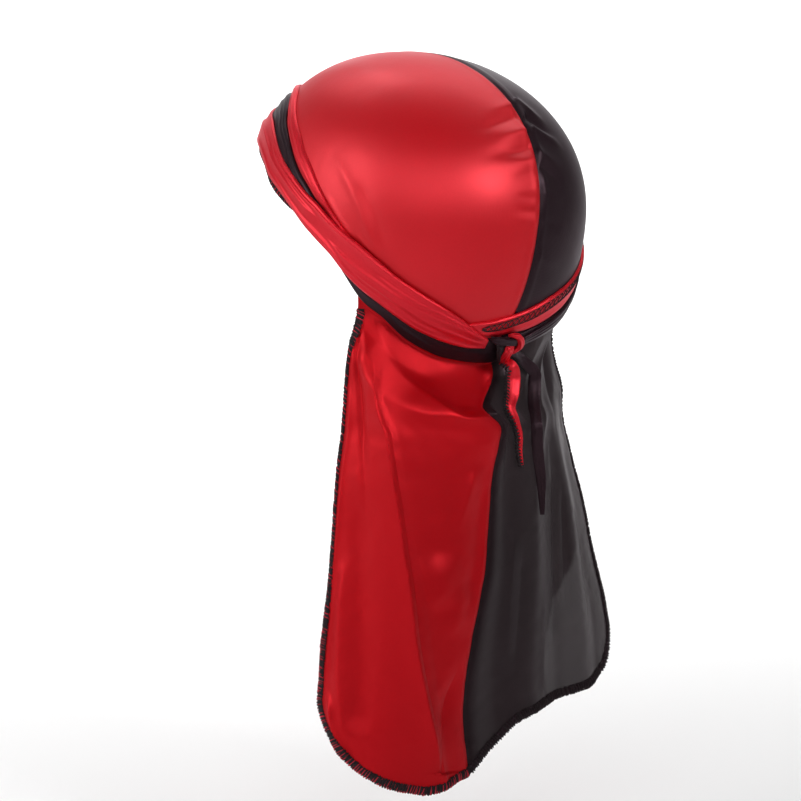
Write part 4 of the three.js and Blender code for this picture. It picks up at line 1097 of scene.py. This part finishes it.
def front_edge():
    """The dark edge of the dome, from the right temple round the forehead to the left one."""
    angle = np.linspace(FRONT_START, FRONT_END, FRONT_POINTS)
    place = np.where(angle < FRONT_ANGLE, angle + 360, angle)
    latitude = latitude_of(height_of(eased(CROWN_EDGE, place, "height")) - FRONT_BELOW)
    path = on_crown(angle, latitude)
    facing = unit(on_crown(angle, latitude, 1.0) - path)
    out = unit(np.cross(facing, unit(np.gradient(path, axis=0))))
    out = out * np.sign(-out[:, 2].mean())
    at = np.concatenate([[0], np.cumsum(np.linalg.norm(np.diff(path, axis=0), axis=1))])
    half = FRONT_HALF + 0.15 * wander(at, 5, 51)
    centre = path - facing * FRONT_SINK
    rings = ring_body(centre, out, facing, half, np.full(len(at), FRONT_DEPTH))
    base = piece("front_overlock", rings, capped(rings), BLACK_EDGE, flat_uv(rings))
    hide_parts("front_hem")
    return base, (centre, facing, out, at, half)


front_hem, FRONT_EDGE = front_edge()
front_middle = FRONT_EDGE[3][-1] / 2
front_stitches = whip("front_stitches", FRONT_EDGE, 1.2, 0.9, DARK_THREAD, 0.0, 1.0, 0.4)
front_fringe = whip("front_fringe", FRONT_EDGE, 3.1, 1.2, RED_THREAD, 0.1, 0.95, 0.3, (front_middle, 999))


# ---- knot and free ends
STRAP_SIDES, STRAP_POWER, STRAP_GROOVES, STRAP_TWIST = 40, 2.6, 5, 1.2


def along_line(count, values):
    """Values spread evenly over a line of so many places, read at each place."""
    return np.interp(np.linspace(0, 1, count), np.linspace(0, 1, len(values)), values)


def strap(name, centre, wide, facing, half_wide, half_deep, look, grooves, seed):
    """A rounded strip through places, with lengthwise grooves."""
    count = len(centre)
    rings = ring_body(centre, wide, facing, half_wide, half_deep, STRAP_SIDES, STRAP_POWER)
    turn = np.linspace(0, 2 * np.pi, STRAP_SIDES, endpoint=False)
    drift = STRAP_TWIST * wander(np.arange(count) / 6, 1, seed)[:, None]
    ripple = grooves * np.cos(turn[None, :] * STRAP_GROOVES + drift)
    rings = rings + unit(rings - centre[:, None]) * ripple[..., None]
    return piece(name, rings, capped(rings), look, flat_uv(rings))


def knot_strap(name, places, half_wide, half_deep, look, grooves, seed):
    """A turn of the knot through (angle, height mm, standoff mm) places."""
    angle, height, standoff = bent(places, 12).T
    centre = on_dome(angle, height, standoff)
    facing = unit(on_dome(angle, height, standoff + 1) - centre)
    along = unit(np.gradient(centre, axis=0))
    wide = unit(np.cross(along, facing))
    facing = np.cross(wide, along)
    half_wide, half_deep = along_line(len(centre), half_wide), along_line(len(centre), half_deep)
    return strap(name, centre, wide, facing, half_wide, half_deep, look, grooves, seed)


knot_black = knot_strap(
    "knot_black_turn", [(79, -55.6, 2.0), (80.6, -55, 4.2), (84, -55.1, 5.0), (88.2, -55.5, 5.0),
                        (91.4, -56.4, 4.2), (94, -57.6, 2.4)],
    [1.6, 2.3, 2.6, 2.7, 2.4, 1.6], [0.8, 1.3, 1.7, 1.8, 1.5, 0.9], BLACK_SATIN, 0.22, 3)
knot_red = knot_strap(
    "knot_red_loop", [(86.2, -53.2, 3.5), (87.3, -51.9, 5.2), (89.4, -52.2, 6.2), (91.8, -55, 6.4),
                      (93.2, -58.4, 6.0), (92.2, -61.2, 5.2), (89.8, -61.6, 4.4)],
    [1.2, 1.4, 1.6, 1.8, 1.8, 1.6, 1.2], [0.9, 1.1, 1.2, 1.3, 1.3, 1.2, 0.9], RED_TIE_PAINTED_LIGHT, 0.2, 5)
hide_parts("knot_black")
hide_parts("knot_red")
knot_drop = knot_strap(
    "knot_red_lower", [(87.6, -55.5, 4.0), (87.8, -57.5, 5.4), (87.8, -59.4, 6.2), (88.3, -62.3, 6.2),
                       (90.0, -65.6, 5.6), (91.5, -68.5, 5.0)],
    [1.8, 2.4, 2.5, 2.5, 2.2, 1.8], [0.9, 1.3, 1.6, 1.6, 1.2, 0.9], RED_TIE_PAINTED_LIGHT, 0.34, 7)
knot_bits = knot_strap(
    "knot_overlock", [(82.6, -57, 3.6), (84, -59, 4.6), (86, -63, 4.8), (89, -67, 4.6)],
    [1.2, 1.7, 1.7, 1.3], [0.8, 1.1, 1.0, 0.8], DARK_THREAD, 0.3, 9)


def flap_place(across, drop, standoff):
    """A place on the hanging flap, standing off it. Standoff is in mm."""
    plan = outside_flap(across, drop, flap_relief(across, drop) + standoff)
    return np.concatenate([plan, (-SEAT - HANG_LINE - drop * CAPE_LENGTH)[..., None]], -1)


TAIL_FACING, TAIL_GROOVES = [0.64, 0.75, 0.1], 0.18


def tail(name, first, places, half_wide, half_deep, twist, look, node, seed):
    """A free end: leaves the knot at first, then hangs on the flap through (across, drop, standoff mm) places."""
    line = np.concatenate([np.array(first, float), flap_place(*np.array(places, float).T)])
    centre = bent(line, 14)
    along = unit(np.gradient(centre, axis=0))
    outward = np.broadcast_to(TAIL_FACING, centre.shape)
    facing = unit(outward - along * (outward * along).sum(-1, keepdims=True))
    wide = np.cross(along, facing)
    count = len(centre)
    lean = along_line(count, twist)[:, None]
    wide, facing = (unit(wide * np.cos(lean) + facing * np.sin(lean)),
                    unit(facing * np.cos(lean) - wide * np.sin(lean)))
    half_wide, half_deep = along_line(count, half_wide), along_line(count, half_deep)
    item = strap(name, centre, wide, facing, half_wide, half_deep, look, TAIL_GROOVES, seed)
    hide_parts(node)
    return item, (centre, wide, facing, half_wide)


tail_red, RED_TAIL = tail(
    "tail_red_cloth", on_dome([89.6, 91.4], [-63.5, -66.5], [4.6, 4.8]),
    [(.556, .15, 4.4), (.583, .173, 4.3), (.598, .205, 4.0), (.585, .232, 3.6), (.566, .257, 3.2),
     (.57, .29, 2.8), (.58, .324, 2.6), (.592, .354, 2.6)],
    [1.8, 2.1, 2.5, 3.6, 3.2, 2.3, 1.5, 1.2, 0.9, 0.5], [1.0, 1.0, 0.9, 0.7, 0.7, 0.7, 0.6, 0.6, 0.5, 0.3],
    [0, 0, 0.1, 0.35, 0.25, 0.0, -0.2, 0, 0, 0], RED_TIE_PAINTED_LIGHT, "tail_red", 13)
tail_black = tail(
    "tail_black_cloth", on_dome([90.5, 92.4], [-60.5, -61.8], [4.0, 4.4]),
    [(.6, .132, 4.2), (.641, .147, 4.2), (.688, .17, 4.0), (.705, .197, 3.8), (.696, .231, 3.2),
     (.64, .274, 2.6), (.65, .329, 2.4), (.663, .394, 2.4), (.662, .466, 2.2)],
    [1.8, 2.2, 2.8, 3.2, 3.4, 3.4, 3.2, 3.0, 3.0, 2.6, 1.0],
    [1.0, 1.0, 0.9, 0.9, 0.8, 0.8, 0.7, 0.7, 0.6, 0.5, 0.3],
    [0, 0.2, 0.5, 0.5, 0.3, 0, 0, -0.15, 0, 0, 0], BLACK_SATIN, "tail_black", 15)[0]


def tail_stitches():
    """Overlock thread down the left edge of the red free end."""
    centre, wide, facing, half_wide = RED_TAIL
    to_left = np.sign(wide[:, 0].mean())
    edge = centre + wide * (half_wide * 0.95)[:, None] * to_left
    path, out, at = even(edge + wide * 0.4, 1.8, wide)
    face = even(edge + wide * 0.4, 1.8, facing)[1]
    turn = np.linspace(-0.5, np.pi + 0.5, 9)
    lean = unit(np.gradient(path, axis=0))
    place = (path[:, None] + out[:, None] * (np.cos(turn) * 1.2)[None, :, None]
             + face[:, None] * (np.sin(turn) * 1.1)[None, :, None] + lean[:, None] * (turn * 0.35)[None, :, None])
    return threads("tail_stitches", place, 0.46, DARK_THREAD, np.broadcast_to(face[:, None], place.shape))


tail_thread = tail_stitches()


# ---- floor, light and camera
VIEW_TURN, VIEW_RISE, VIEW_FAR = np.radians(40.25), np.radians(8.07), 1.4
VIEW_RIGHT, VIEW_UP, LENS, SENSOR = 0.00532, 0.10564, 116.47, 36
FLOOR_DROP, FLOOR_HALF, FLOOR_FRONT, FLOOR_BACK, FLOOR_BEND, WALL_TOP = 0.43, 5, 3.0, -1.6, 1.4, 4.5


def stand(name, data):
    item = bpy.data.objects.new(name, data)
    bpy.context.scene.collection.objects.link(item)
    return item


def lamp(name, place, aim, size, power, spread=180):
    """A rectangle lamp. Places and sizes are in metres, the power in watts, the spread in degrees."""
    data = bpy.data.lights.new(name, "AREA")
    data.shape = "RECTANGLE"
    data.size, data.size_y = size
    data.energy = power
    data.spread = np.radians(spread)
    item = stand(name, data)
    item.location = place
    item.rotation_euler = (Vector(aim) - Vector(place)).to_track_quat("-Z", "Y").to_euler()


def floor():
    """A pale floor that curves up behind the part."""
    back = np.array([np.sin(VIEW_TURN), np.cos(VIEW_TURN)])
    side = np.array([back[1], -back[0]])
    bend = np.linspace(0, np.pi / 2, 24)[1:]
    run = np.concatenate([np.linspace(FLOOR_FRONT, FLOOR_BACK, 12), FLOOR_BACK - FLOOR_BEND * np.sin(bend)])
    rise = np.concatenate([np.zeros(12), FLOOR_BEND * (1 - np.cos(bend))])
    run, rise = np.append(run, run[-1]), np.append(rise, WALL_TOP)
    points = [(*(back * r + side * s), z - FLOOR_DROP)
              for r, z in zip(run, rise) for s in (-FLOOR_HALF, FLOOR_HALF)]
    mesh = bpy.data.meshes.new("floor")
    mesh.from_pydata(points, [], grid_faces(len(run), 2).tolist())
    mesh.polygons.foreach_set("use_smooth", np.ones(len(mesh.polygons), bool))
    n = Nodes("floor")
    body = n.add("ShaderNodeBsdfDiffuse", {"Color": (0.9, 0.9, 0.9, 1)})
    n.put(n.out.inputs["Surface"], body.outputs["BSDF"])
    mesh.materials.append(n.material)
    item = stand("floor", mesh)


floor()
world = bpy.data.worlds.new("studio")
world.use_nodes = True
ambient = world.node_tree.nodes["Background"]
ambient.inputs["Color"].default_value = (1, 1, 1, 1)
ambient.inputs["Strength"].default_value = 0.15
bpy.context.scene.world = world
bpy.context.scene.view_settings.view_transform = "Standard"

BACK = np.array([np.sin(VIEW_TURN) * np.cos(VIEW_RISE), np.cos(VIEW_TURN) * np.cos(VIEW_RISE),
                 np.sin(VIEW_RISE)])
RIGHT = np.array([-np.cos(VIEW_TURN), np.sin(VIEW_TURN), 0])
UP = np.cross(BACK, RIGHT)
MIDDLE = np.array([0, 0, -SEAT * MM])
camera_data = bpy.data.cameras.new("camera")
camera_data.lens = LENS
camera_data.sensor_width = SENSOR
camera_data.clip_end = 30
camera = stand("camera", camera_data)
view_place = MIDDLE + BACK * VIEW_FAR - RIGHT * VIEW_RIGHT - UP * VIEW_UP
rows = [[*axis, place] for *axis, place in zip(RIGHT, UP, BACK, view_place)]
camera.matrix_world = Matrix(rows + [[0, 0, 0, 1]])
bpy.context.scene.camera = camera

lamp("key", MIDDLE + BACK * 0.75 + RIGHT * 0.7 + UP * 0.36, MIDDLE + BACK * 0.05 + RIGHT * 0.04 + UP * 0.05,
     (0.4, 0.4), 0.32, 26)
lamp("top", MIDDLE + BACK * 1.15 - RIGHT * 0.2 + UP * 0.27, MIDDLE, (1.0, 0.6), 3.9)
lamp("side", MIDDLE + BACK * 0.5 - RIGHT * 1.7 + UP * 0.5, MIDDLE + [0, 0, -0.05], (0.5, 1.0), 17)
lamp("wall", MIDDLE - BACK * 0.9 + UP * 1.9, MIDDLE - BACK * 3 + UP * 0.2, (2.4, 1.0), 84)
